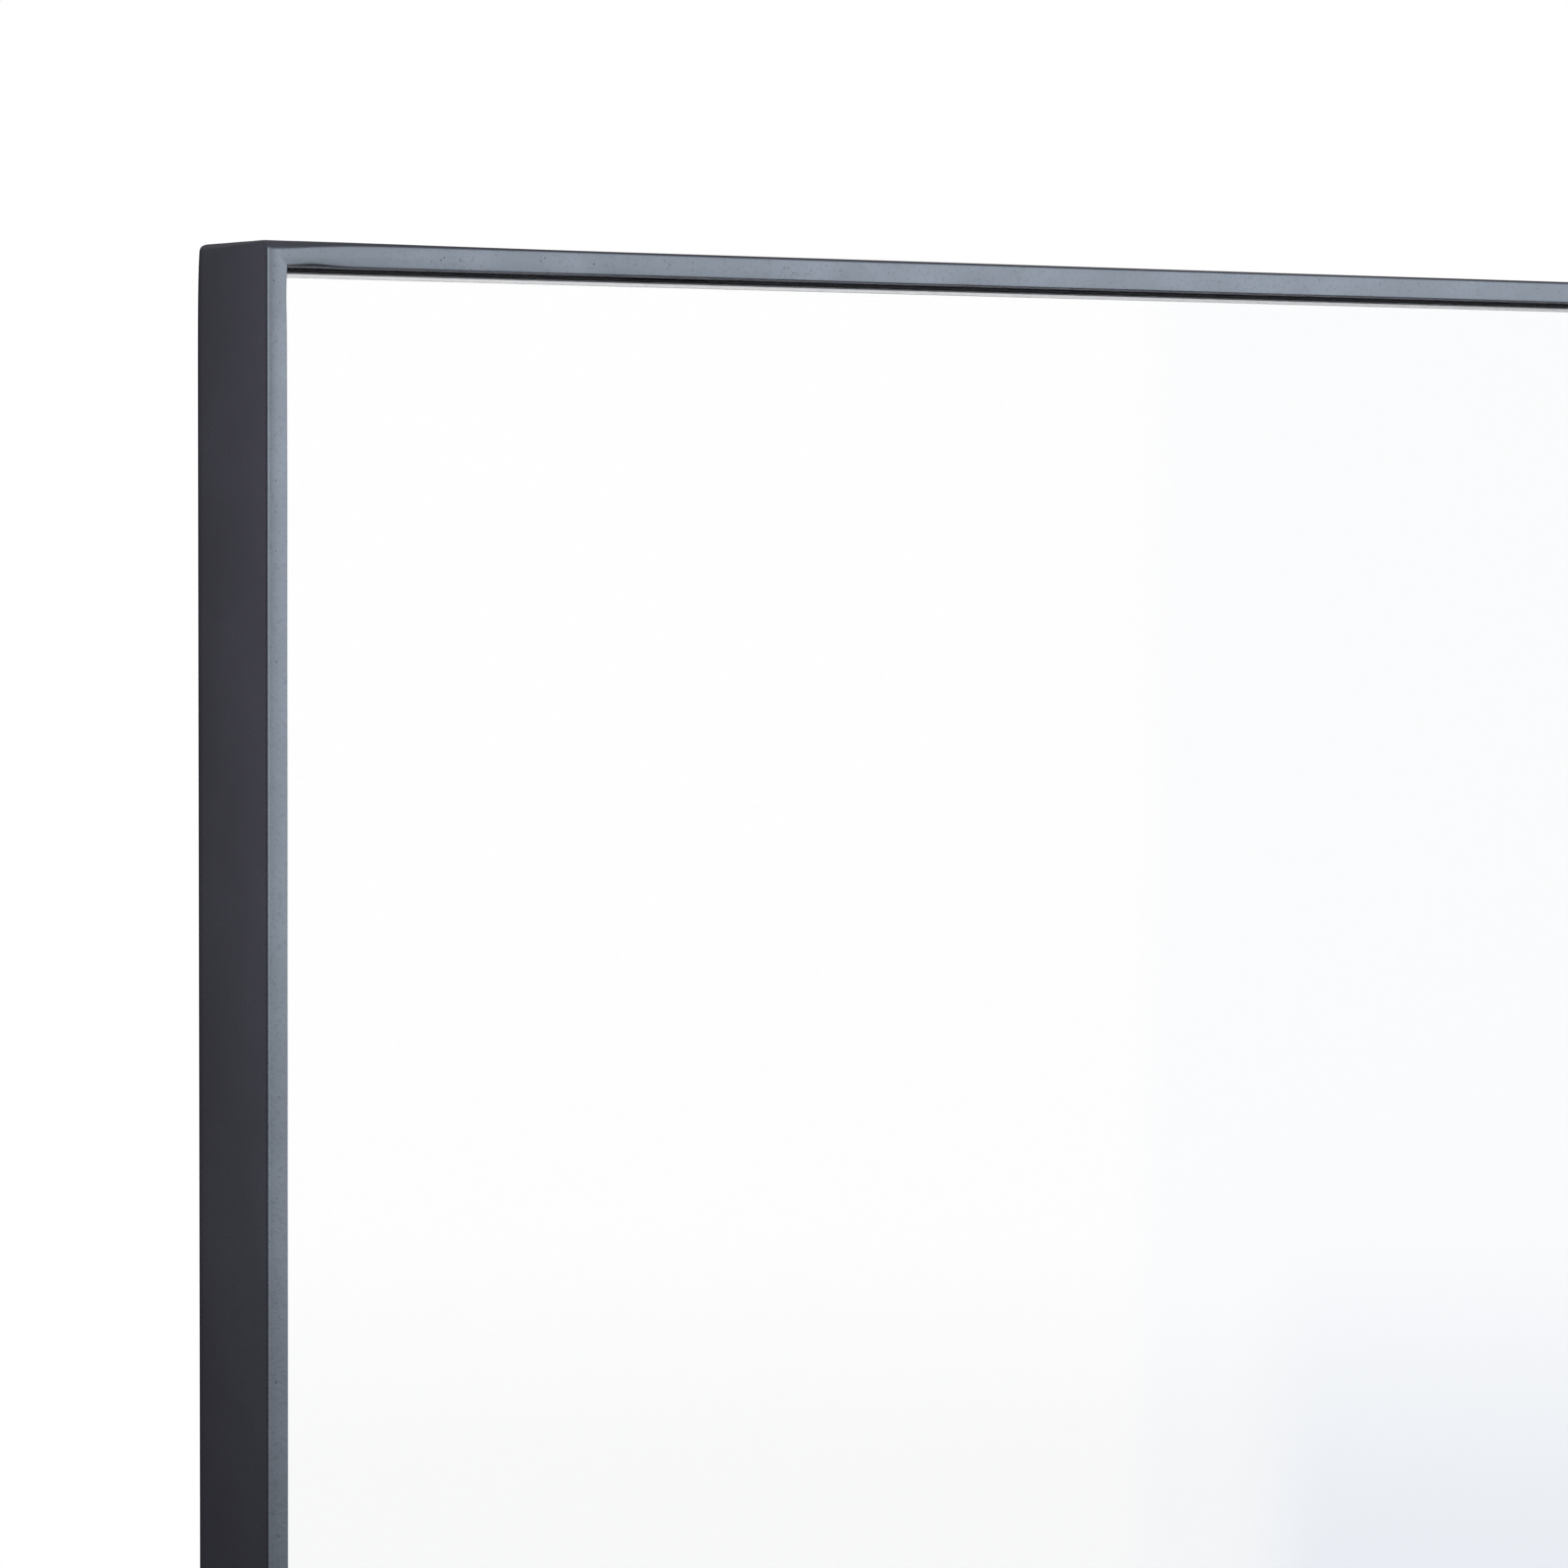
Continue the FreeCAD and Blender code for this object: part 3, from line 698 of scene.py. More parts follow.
def finish_piece(bm, name, node, material):
    """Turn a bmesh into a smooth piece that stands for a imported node."""
    bmesh.ops.recalc_face_normals(bm, faces=bm.faces)
    mesh = bpy.data.meshes.new(name)
    bm.to_mesh(mesh)
    bm.free()
    for polygon in mesh.polygons:
        polygon.use_smooth = True
    mesh.set_sharp_from_angle(angle=SHARP)
    mesh.materials.append(material)
    piece = bpy.data.objects.new(name, mesh)
    bpy.context.scene.collection.objects.link(piece)
    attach(piece, MAIN_BODY)
    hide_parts(node)
    return piece


# Bars: divisions of a blank from end to end, and how its stations crowd to the ends and the front
BLANK_END = 1.0
EASE_STEPS = 4
FRONT_CUTS = 15
REAR_CUTS = 3
OUTER_CUTS = 21
INNER_CUTS = 5
BAR_STATIONS = 150
END_GATHER = 2.0
FRONT_GATHER = 1.7

# Lengths of the waves along a bar, how far from a mitre they die out, and their seeds
FRONT_WAVE = 0.05
SIDE_WAVE = 0.07
EDGE_WAVE = 0.035
WAVE_CALM = 0.004
WAVE_ROWS = (7.3, 1.7)
BAR_SEED, SIDE_SEED, EDGE_SEED = 3, 11, 23

# How far grinding and coating reach in from an edge or along from a corner, and what they leave
INNER_EDGE_REACH = 0.0008
CROWN_REACH = 0.09
CROWN_REST = 0.4
GROUND_REACH = 0.045
LEAN_POWER = 4
STILE_DIP = 0.4

# How squarely a face looks forward to be clear glass, or inward to have the darker reveal coat,
# which holds painted shade
FACE_ON = 0.99
REVEAL_LEAN = 0.6


def straight_edges(bm, axis, value):
    """Edges that lie on one straight side."""
    return [
        edge for edge in bm.edges if all(abs(v.co[axis] - value) < NEAR for v in edge.verts)]


def bar_blank(settings):
    """A square-ended bar along X, eased and divided for hand shaping, its outer face at Z zero."""
    bm = bmesh.new()
    places = ((FRONT_Y, 0.0), (REAR_Y, 0.0), (REAR_Y, BAR_FACE), (FRONT_Y, BAR_FACE))
    eases = (settings.outer_ease, settings.rear_ease, settings.rear_ease, settings.inner_ease)
    corners = [bm.verts.new((-BLANK_END, y, z)) for y, z in places]
    bm.faces.new(corners)
    for corner, ease in zip(corners, eases):
        bmesh.ops.bevel(
            bm, geom=[corner], offset=ease, offset_type="OFFSET", segments=EASE_STEPS,
            profile=0.5, affect="VERTICES", material=-1)
    sides = (
        (1, FRONT_Y, FRONT_CUTS), (1, REAR_Y, REAR_CUTS), (2, 0.0, OUTER_CUTS),
        (2, BAR_FACE, INNER_CUTS))
    for axis, value, cuts in sides:
        bmesh.ops.subdivide_edges(bm, edges=straight_edges(bm, axis, value), cuts=cuts)
    start = FRONT_Y + settings.outer_ease
    span = BAR_DEPTH - settings.outer_ease - settings.rear_ease
    for vert in bm.verts:
        if abs(vert.co.z) < NEAR:
            part = min(1.0, max(0.0, (vert.co.y - start) / span))
            vert.co.y = start + span * part ** FRONT_GATHER
    grown = bmesh.ops.extrude_face_region(bm, geom=list(bm.faces))["geom"]
    moved = [item for item in grown if isinstance(item, bmesh.types.BMVert)]
    bmesh.ops.translate(bm, verts=moved, vec=(2 * BLANK_END, 0.0, 0.0))
    along = [
        edge for edge in bm.edges if abs(edge.verts[0].co.x - edge.verts[1].co.x) > BLANK_END]
    bmesh.ops.subdivide_edges(bm, edges=along, cuts=BAR_STATIONS - 1, use_grid_fill=True)
    return bm


def wave(place, seed, reach):
    """A smooth wander along a bar, from zero to one."""
    row, layer = WAVE_ROWS
    return 0.5 + 0.5 * noise.noise(Vector((place / reach, row * seed, layer * seed)))


def round_edge(first, second, radius):
    """Pull a point onto the round of an edge, given its distances from the edge's two faces."""
    off_first = radius - first
    off_second = radius - second
    if off_first <= 0 or off_second <= 0:
        return first, second
    reach = math.hypot(off_first, off_second)
    if reach <= radius:
        return first, second
    return radius - off_first * radius / reach, radius - off_second * radius / reach


def rail_round(along, settings):
    """Round of a rail's outer front edge, wide next to the corner where the weld was ground."""
    extra = settings.rail_corner_ease * math.exp(-(along / settings.rail_corner_reach) ** 2)
    return settings.rail_ease + extra


def shape_bar(bm, half_length, seed, is_rail, settings):
    """Mitre, crown and grind a blank, with its stations crowded at the rounded corners."""
    middle_y = (FRONT_Y + REAR_Y) / 2
    for vert in bm.verts:
        place, y, z = vert.co
        near = 1.0 - (1.0 - abs(place)) ** END_GATHER
        x = math.copysign(near * (half_length - z), place)
        from_end = half_length - abs(x)
        from_front = y - FRONT_Y
        deep = 2 * (y - middle_y) / BAR_DEPTH
        outer_weight = 1.0 - z / BAR_FACE

        # Crown of the rolled bar, and long waves that die out at the mitre
        calm = 1.0 - math.exp(-(from_end - z) / WAVE_CALM)
        if from_front < settings.inner_ease + NEAR:
            across = 2 * z / BAR_FACE - 1
            fuller = math.exp(-(from_end / CROWN_REACH) ** 2)
            crown = settings.front_crown * (CROWN_REST + (1.0 - CROWN_REST) * fuller)
            from_front += crown * across ** 2
            from_front += settings.waviness * wave(x, seed, FRONT_WAVE) * calm
        wave_in = settings.waviness * wave(x, seed + SIDE_SEED, SIDE_WAVE) * calm
        fall = settings.outer_crown * deep ** 2
        from_inner = BAR_FACE - z
        inner_front = max(0.0, 1.0 - (y - FRONT_Y + from_inner) / INNER_EDGE_REACH)
        reveal = min(1.0, max(0.0, (GLASS_LOW.y - y) / INNER_EDGE_REACH))
        bead = settings.coat_bead * reveal * max(0.0, 1.0 - from_inner / INNER_EDGE_REACH)

        # Rails were ground flat next to the corners, which took off their crown there
        from_corner = from_end if is_rail else z
        rail_fall = fall * (1.0 - math.exp(-(from_corner / GROUND_REACH) ** 2))
        own_fall, end_fall = (rail_fall, fall) if is_rail else (fall, rail_fall)
        z += (own_fall + wave_in) * outer_weight
        from_end += end_fall * max(0.0, 1.0 - from_end / BAR_FACE)

        # The inner front edge wanders, and dips where the weld was cleaned off
        wander = settings.edge_waviness * (wave(x, seed + EDGE_SEED, EDGE_WAVE) - 0.5) * calm
        dip = (1.0 if is_rail else STILE_DIP) * settings.weld_dip * math.exp(
            -((from_end - settings.weld_dip_place) / settings.weld_dip_reach) ** 2)
        z += bead - inner_front * (wander + dip * calm)

        # The rail's front edge was ground round first, then the stile's
        if is_rail:
            from_front, z = round_edge(from_front, z, rail_round(from_end, settings))
            from_front, from_end = round_edge(from_front, from_end, settings.outer_ease)
        else:
            from_front, from_end = round_edge(from_front, from_end, rail_round(z, settings))
            from_front, z = round_edge(from_front, z, settings.outer_ease)

        # Round of the corner itself, wider towards the wall, where the rear edge leans back too
        share_deep = min(1.0, max(0.0, from_front / BAR_DEPTH))
        radius = settings.corner_round_front + share_deep * (
            settings.corner_round_rear - settings.corner_round_front)
        from_end, z = round_edge(from_end, z, radius)
        lean = settings.corner_lean * math.exp(-max(from_end, z) / settings.corner_lean_reach)
        from_front -= lean * share_deep ** LEAN_POWER
        vert.co = (math.copysign(half_length - from_end, place), FRONT_Y + from_front, z)


def dressed_bar(node, settings, coat, shaded_reveal_coat):
    """One bar of the frame, ground and coated, in its place."""
    turn, outer, half_length = BARS[node]
    bm = bar_blank(settings)
    shape_bar(bm, half_length, BAR_SEED + turn / 90, node.endswith("rail"), settings)
    bmesh.ops.recalc_face_normals(bm, faces=bm.faces)
    # Faces turned in towards the glass take the darker reveal coat: painted shade
    for face in bm.faces:
        face.material_index = 1 if face.normal.z > REVEAL_LEAN else 0
    move_part(bm, (0.0, 0.0, -outer))
    turn_part(bm, math.radians(turn))
    piece = finish_piece(bm, "dressed_" + node, node, coat)
    piece.data.materials.append(shaded_reveal_coat)


def seamed_glass(settings):
    """The pane: clear faces, a ground edge and a seamed front arris."""
    bm = slab(GLASS_LOW, GLASS_HIGH)
    rim = straight_edges(bm, 1, GLASS_LOW.y)
    bmesh.ops.bevel(
        bm, geom=rim, offset=settings.arris, offset_type="OFFSET", segments=1, profile=0.5,
        affect="EDGES", material=-1)
    for face in bm.faces:
        face.material_index = 0 if abs(face.normal.y) > FACE_ON else 1
    piece = finish_piece(
        bm, "seamed_glass", "mirror_glass", float_glass(settings))
    piece.data.materials.append(ground_edge(settings))


def silver_layer(settings):
    """The silvering, a hair behind the glass, with its backing paint on the far side."""
    low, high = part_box("silver_coating")
    front = low.y + settings.silver_gap
    bm = slab(Vector((low.x, front, low.z)), high)
    for face in bm.faces:
        face.material_index = 0 if face.calc_center_median().y < front + NEAR else 1
    piece = finish_piece(bm, "silver_layer", "silver_coating", silvering(settings))
    piece.data.materials.append(backing_paint(settings))


# Hardware pieces

TURN_STEPS = 64
ARC_STEPS = 10

# Screws: rings and shape of the head's dome, slope of the recess, end of the tip, turn of the next
HEAD_RINGS = 28
HEAD_POWER = 2.6
RECESS_TAPER = 0.35
TIP_SHARE = 0.3
GOLDEN_TURN = math.radians(137.5)

# Points along a tab's side and round a strap's eye, and where a strap's four long edges lie
TAB_STEPS = 8
EYE_STEPS = 36
STRAP_CORNERS = (0, 3, 4, 7)
STRAP_FLAT = 3

# Welds: divisions, hollow of the face, taper at the ends and bow of the ripples
WELD_STATIONS = 64
WELD_POINTS = 12
WELD_HOLLOW = 0.18
WELD_END = 0.25
WELD_START = 0.4
RIPPLE_BOW = 0.5

# Share of a bumper's radius that is dished, and share of a bar's face that counts as touching it
BUMPER_FACE = 0.62
TOUCHING = 0.1


def pan_screw(low, high, settings):
    """A pan-head screw on the Y axis: domed head, cross recess and threaded shank."""
    head = (high.x - low.x) / 2
    seat = high.y - settings.head_height
    profile = []
    for ring in range(HEAD_RINGS + 1):
        part = ring / HEAD_RINGS
        profile.append((head * part, high.y - settings.head_crown * part ** HEAD_POWER))
    root = settings.shank_radius - settings.thread_depth
    profile += [(head, seat), (root, seat)]
    tip = low.y + settings.shank_radius
    y = seat - settings.thread_pitch
    while y > tip:
        profile += [(settings.shank_radius, y), (root, y - settings.thread_pitch / 2)]
        y -= settings.thread_pitch
    profile += [(TIP_SHARE * settings.shank_radius, low.y), (0.0, low.y)]
    bm = turned_part(profile, TURN_STEPS)
    half = settings.drive_width / 2
    reach = settings.drive_span / 2
    for vert in bm.verts:
        if vert.co.y < seat + NEAR:
            continue
        across, upright = abs(vert.co.x), abs(vert.co.z)
        inside = max(min(half - across, reach - upright), min(half - upright, reach - across))
        vert.co.y -= settings.drive_depth * min(1.0, max(0.0, inside) / (RECESS_TAPER * half))
    return bm


def pan_screws(node, zinc, settings):
    """All the screws of a node, each turned by its own amount."""
    boxes = solid_boxes(node)
    model = pan_screw(*boxes[0], settings)
    bm = bmesh.new()
    for count, (low, high) in enumerate(boxes):
        screw = model.copy()
        turn_part(screw, count * GOLDEN_TURN)
        middle = (low + high) / 2
        move_part(screw, (middle.x, 0.0, middle.z))
        join_part(bm, screw)
    model.free()
    finish_piece(bm, "pan_head_" + node, node, zinc)


def moulded_bumpers(rubber, settings):
    """Round bumpers with a rounded rim and a shallow dish in the face."""
    bm = bmesh.new()
    rim, dish = settings.bumper_round, settings.bumper_dish
    for low, high in solid_boxes("wall_bumpers"):
        radius = (high.x - low.x) / 2
        flat = BUMPER_FACE * radius
        profile = [(0.0, high.y - dish), (flat, high.y - dish), (flat + dish, high.y)]
        for angle in quarter_turn(ARC_STEPS):
            profile.append(
                (radius - rim + rim * math.sin(angle), high.y - rim + rim * math.cos(angle)))
        profile += [(radius, low.y), (0.0, low.y)]
        bumper = turned_part(profile, TURN_STEPS)
        middle = (low + high) / 2
        move_part(bumper, (middle.x, 0.0, middle.z))
        join_part(bm, bumper)
    finish_piece(bm, "moulded_bumpers", "wall_bumpers", rubber)


def bar_beside(low, high):
    """The turn and the inner face of the bar that a tab or its weld touches."""
    for turn, outer, _ in BARS.values():
        inner = outer - BAR_FACE
        gaps = {0: low.z + inner, 90: low.x + inner, 180: inner - high.z, 270: inner - high.x}
        if abs(gaps[turn]) < TOUCHING * BAR_FACE:
            return turn, inner
    raise ValueError("a tab or weld touches no bar")


def seat_on_bar(part, low, high):
    """Move a part built on a bar's inner face at the origin to its place beside its own bar."""
    turn, inner = bar_beside(low, high)
    back = Matrix.Rotation(math.radians(-turn), 3, "Y")
    move_part(part, ((back @ ((low + high) / 2)).x, low.y, -inner))
    turn_part(part, math.radians(turn))


def between(first, last, steps):
    """Points from one place up to the next, without the last."""
    first, last = Vector(first), Vector(last)
    return [first.lerp(last, step / steps) for step in range(steps)]


def quarter(x, z, radius, start):
    """Points of a quarter circle from a starting angle, without the last."""
    return [
        Vector((x + radius * math.cos(start + angle), z + radius * math.sin(start + angle)))
        for angle in quarter_turn(ARC_STEPS)[:-1]]


def tab_outline(width, reach, radius, inset, root):
    """Points of X and Z round a tab, moved in from its free edges and from its root at Z zero."""
    half, top, radius = width / 2 - inset, reach - inset, radius - inset
    side, shoulder = half - radius, top - radius
    points = between((-half, root), (half, root), TAB_STEPS)
    points += between((half, root), (half, shoulder), TAB_STEPS)
    points += quarter(side, shoulder, radius, 0.0)
    points += between((side, top), (-side, top), TAB_STEPS)
    points += quarter(-side, shoulder, radius, math.pi / 2)
    points += between((-half, shoulder), (-half, root), TAB_STEPS)
    return points


def skin_rows(bm, rows):
    """Faces between rows of vertices that each run once round a part."""
    for near, far in zip(rows, rows[1:]):
        for k in range(len(near)):
            after = (k + 1) % len(near)
            bm.faces.new((near[k], near[after], far[after], far[k]))


def formed_tab(low, high, hole_reach, settings):
    """A tab on a bar's inner face: eased edges, a round free end and a screw hole."""
    turn, _ = bar_beside(low, high)
    span = high - low
    width, reach = (span.x, span.z) if turn % 180 == 0 else (span.z, span.x)
    ease = settings.tab_ease
    levels = [(0.0, 0.0, 0.0)]
    for angle in quarter_turn(EASE_STEPS):
        inset = ease * (1.0 - math.cos(angle))
        levels.append((inset, 0.0, span.y - ease * (1.0 - math.sin(angle))))
    levels.append((2 * ease, ease, span.y))
    rings = [
        (tab_outline(width, reach, settings.tab_round, inset, root), y)
        for inset, root, y in levels]
    centre = Vector((0.0, hole_reach))
    hole = [
        centre + settings.tab_hole * (point - centre).normalized() for point in rings[0][0]]
    rings += [(hole, span.y), (hole, 0.0)]
    bm = bmesh.new()
    rows = [[bm.verts.new((point.x, y, point.y)) for point in points] for points, y in rings]
    skin_rows(bm, rows + rows[:1])
    return bm


def formed_tabs(coat, settings):
    """The tabs that the board is screwed to, each with its hole under its screw."""
    screws = [(low + high) / 2 for low, high in solid_boxes("board_screws")]
    bm = bmesh.new()
    for low, high in solid_boxes("fixing_tabs"):
        turn, inner = bar_beside(low, high)
        middle = (low + high) / 2
        screw = min(screws, key=lambda place: (place - middle).length)
        back = Matrix.Rotation(math.radians(-turn), 3, "Y")
        tab = formed_tab(low, high, (back @ screw).z + inner, settings)
        seat_on_bar(tab, low, high)
        join_part(bm, tab)
    finish_piece(bm, "formed_tabs", "fixing_tabs", coat)


def weld_bead(root, along, first, second, reach, leg, settings):
    """A rippled fillet weld from a root, along one direction, with its legs on two others."""
    bm = bmesh.new()
    rows = []
    for station in range(WELD_STATIONS + 1):
        place = reach * station / WELD_STATIONS
        ends = min(1.0, min(place, reach - place) / min(leg, WELD_END * reach))
        size = leg * (WELD_START + (1.0 - WELD_START) * math.sqrt(ends))
        row = [bm.verts.new(root + along * place)]
        for angle in quarter_turn(WELD_POINTS):
            bulge = math.sin(2 * angle) ** 2
            phase = (place + RIPPLE_BOW * leg * bulge) / settings.ripple_pitch
            dent = settings.ripple_depth * bulge * (0.5 - 0.5 * math.cos(math.tau * phase))
            radius = size * (1.0 - WELD_HOLLOW * bulge - dent)
            across = first * math.cos(angle) + second * math.sin(angle)
            row.append(bm.verts.new(root + along * place + across * radius))
        rows.append(row)
    skin_rows(bm, rows)
    bm.faces.new(rows[0])
    bm.faces.new(rows[-1])
    return bm


def rippled_welds(coat, settings):
    """The welds of the tabs and of the inner corners."""
    x, y, z = Matrix.Identity(3)
    tabs = bmesh.new()
    for low, high in solid_boxes("tab_welds"):
        reach = max(high.x - low.x, high.z - low.z)
        bead = weld_bead(-x * reach / 2, x, z, y, reach, high.y - low.y, settings)
        seat_on_bar(bead, low, high)
        join_part(tabs, bead)
    finish_piece(tabs, "rippled_tab_welds", "tab_welds", coat)
    corners = bmesh.new()
    for low, high in solid_boxes("corner_welds"):
        middle = (low + high) / 2
        side, end = math.copysign(1.0, middle.x), math.copysign(1.0, middle.z)
        root = Vector((side * (HALF_WIDTH - BAR_FACE), low.y, end * (HALF_HEIGHT - BAR_FACE)))
        bead = weld_bead(
            root, y, -side * x, -end * z, high.y - low.y, high.x - low.x, settings)
        join_part(corners, bead)
    finish_piece(corners, "rippled_corner_welds", "corner_welds", coat)


def strap_line(outer, reach, settings):
    """Points of Y and Z along the middle of a folded strip: lower leaf, eye, neck, upper leaf."""
    thick = settings.strap_thickness
    neck = settings.strap_neck
    middle = outer - thick / 2
    bend = neck + thick / 2
    tail = [
        reach - settings.strap_round * (1.0 - math.cos(angle))
        for angle in quarter_turn(ARC_STEPS)]
    rise = 2 * thick + neck - outer
    run = math.sqrt((outer + neck) ** 2 - rise ** 2)
    lean = math.pi - math.atan2(rise, run)
    points = [(thick / 2, -place) for place in tail]
    for step in range(EYE_STEPS + 1):
        angle = -math.pi / 2 + (lean + math.pi / 2) * step / EYE_STEPS
        points.append((outer + middle * math.sin(angle), middle * math.cos(angle)))
    for step in range(1, ARC_STEPS + 1):
        angle = lean - math.pi + (math.pi / 2 - lean) * step / ARC_STEPS
        points.append((2 * thick + neck + bend * math.sin(angle), -run + bend * math.cos(angle)))
    points += [(1.5 * thick, -place) for place in reversed(tail)]
    return points


def folded_strap(hanger, nickel, settings):
    """A strip folded round its eye, its two leaves lying on each other."""
    low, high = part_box("strap_" + hanger)
    span = high - low
    outer = span.y / 2
    reach = max(span.x, span.z) - outer
    half_width = min(span.x, span.z) / 2
    radius = settings.strap_round
    points = strap_line(outer, reach, settings)
    bm = bmesh.new()
    rows = []
    for k, (y, z) in enumerate(points):
        before, after = points[max(0, k - 1)], points[min(len(points) - 1, k + 1)]
        run = Vector((0.0, after[0] - before[0], after[1] - before[1])).normalized()
        out = Vector((0.0, run.z, -run.y)) * settings.strap_thickness / 2
        past = max(0.0, -z - (reach - radius))
        half = half_width - radius + math.sqrt(max(0.0, radius ** 2 - past ** 2))
        flat = half - STRAP_FLAT * settings.strap_ease
        upper = [Vector((x, y, z)) + out for x in (-half, -flat, flat, half)]
        lower = [Vector((x, y, z)) - out for x in (half, flat, -flat, -half)]
        rows.append([bm.verts.new(place) for place in upper + lower])
    skin_rows(bm, rows)
    pairs = [(near[k], far[k]) for near, far in zip(rows, rows[1:]) for k in STRAP_CORNERS]
    long_edges = [bm.edges.get(pair) for pair in pairs]
    bm.faces.new(rows[0])
    bm.faces.new(rows[-1])
    bmesh.ops.bevel(
        bm, geom=long_edges, offset=settings.strap_ease, offset_type="OFFSET", segments=2,
        profile=0.5, affect="EDGES", material=-1)
    if span.z > span.x:
        eye = Vector(((low.x + high.x) / 2, low.y, high.z - outer))
    else:
        turn_part(bm, -math.pi / 2)
        eye = Vector((low.x + outer, low.y, (low.z + high.z) / 2))
    move_part(bm, eye)
    finish_piece(bm, "folded_strap_" + hanger, "strap_" + hanger, nickel)


# Stage

# What the mirror shows, by bearing and height in degrees, and how deep each shade is
SHADE_RIGHT = (37.2, 37.9)
SHADE_FAR_RIGHT = (38.4, 39.8)
SHADE_LOW = (-7.5, -15)
SHADE_ALONG = (-5, -13)
RIGHT_DEPTH, LOW_DEPTH, ALONG_DEPTH = 0.08, 0.40, 0.045

# What the coat's gloss shows, by bearing in front, bearing behind and height, in degrees
GLOSS_FRONT_RIGHT = (36, 60)
GLOSS_FRONT_LEFT = (-135, -105, 10, 27)
GLOSS_REAR = (-110, -75, 75, 110)
GLOSS_PATCH = (-60, -44, -37, -20)
GLOSS_WALL = (4, 30, 60, 100)
WALL_TOP = (14, 4)
OVERHEAD = (9, 26)
UNDERNEATH = (-8.8, -12.0)
FRONT_RIGHT_DEPTH = 0.35

# Soft lamps that face the mirror: name, place, share of the key's power and tint
LAMPS = (
    ("key_softbox", (1.2, -2.0, 2.1), 1.0, (0.96, 0.98, 1.0)),
    ("rear_softbox", (1.3, 2.2, 1.3), 0.7, (1.0, 0.99, 0.97)),
)
LAMP_SIZE = 1.4

# Share of the floor's width over which its gloss pales behind the mirror
FLOOR_PALES = 0.1
FLOOR_ROUGHNESS = 0.9
SENSOR_WIDTH = 36.0
CLIP_START = 0.01


def slope(tree, value, degrees, depth=1.0, smooth=True):
    """A rise from zero over a range of angles."""
    start, end = map(math.radians, degrees)
    return ramp(tree, value, start, end, to_high=depth, smooth=smooth)


def swell(tree, value, degrees):
    """A soft hump over a range of angles: its start, the two ends of its top, and its end."""
    start, top, over, end = degrees
    return times(tree, slope(tree, value, (start, top)), slope(tree, value, (end, over)))


def white_studio(settings):
    """A white studio: even light, white to the camera, shaded in the mirror, dim in gloss."""
    world = bpy.data.worlds.new("white_studio")
    bpy.context.scene.world = world
    world.use_nodes = True
    tree = world.node_tree
    tree.nodes.clear()
    toward = add_node(tree, "ShaderNodeTexCoord").outputs["Generated"]
    parts = add_node(tree, "ShaderNodeSeparateXYZ", {"Vector": toward}).outputs
    ahead = math_node(tree, "ARCTAN2", parts["X"], times(tree, parts["Y"], -1.0))
    behind = math_node(tree, "ARCTAN2", parts["X"], parts["Y"])
    height = math_node(tree, "ARCSINE", parts["Z"])

    # The mirror: white, with a shade on the right that is deeper low down
    right = slope(tree, ahead, SHADE_RIGHT, RIGHT_DEPTH)
    far_right = slope(tree, ahead, SHADE_FAR_RIGHT)
    corner = times(tree, far_right, slope(tree, height, SHADE_LOW, LOW_DEPTH))
    along = slope(tree, height, SHADE_ALONG, ALONG_DEPTH, smooth=False)
    shade = math_node(tree, "ADD", math_node(tree, "ADD", right, corner), along)
    mirrored = blend_colour(tree, shade, WHITE, colour(settings.shade_colour))

    # The gloss: white in front, grey to its sides, dim behind with a paler patch and a wall
    grey = colour(settings.grey_colour)
    patch = swell(tree, behind, GLOSS_PATCH)
    rear = blend_colour(tree, patch, colour(settings.dim_colour), colour(settings.patch_colour))
    wall = times(tree, swell(tree, behind, GLOSS_WALL), slope(tree, height, WALL_TOP))
    glossy = WHITE
    for mask, shown in (
            (slope(tree, ahead, GLOSS_FRONT_RIGHT, FRONT_RIGHT_DEPTH), grey),
            (swell(tree, ahead, GLOSS_FRONT_LEFT), grey),
            (swell(tree, behind, GLOSS_REAR), rear),
            (slope(tree, height, OVERHEAD), colour(settings.ceiling_colour)),
            (slope(tree, height, UNDERNEATH), colour(settings.ground_colour)),
            (wall, colour(settings.wall_colour))):
        glossy = blend_colour(tree, mask, glossy, shown)

    path = tree.nodes.new("ShaderNodeLightPath").outputs
    shown = blend_colour(tree, path["Is Transmission Ray"], glossy, mirrored)
    shown = blend_colour(tree, path["Is Camera Ray"], shown, WHITE)
    seen = math_node(tree, "MAXIMUM", path["Is Camera Ray"], path["Is Glossy Ray"])
    seen = math_node(tree, "MAXIMUM", seen, path["Is Transmission Ray"])
    even = add_node(tree, "ShaderNodeBackground", {
        "Color": colour(settings.ambient_colour), "Strength": settings.ambient})
    view = add_node(tree, "ShaderNodeBackground", {"Color": shown, "Strength": 1.0})
    mixed = add_node(tree, "ShaderNodeMixShader", {
        "Fac": seen, 1: even.outputs["Background"], 2: view.outputs["Background"]})
    add_node(tree, "ShaderNodeOutputWorld", {"Surface": mixed.outputs["Shader"]})


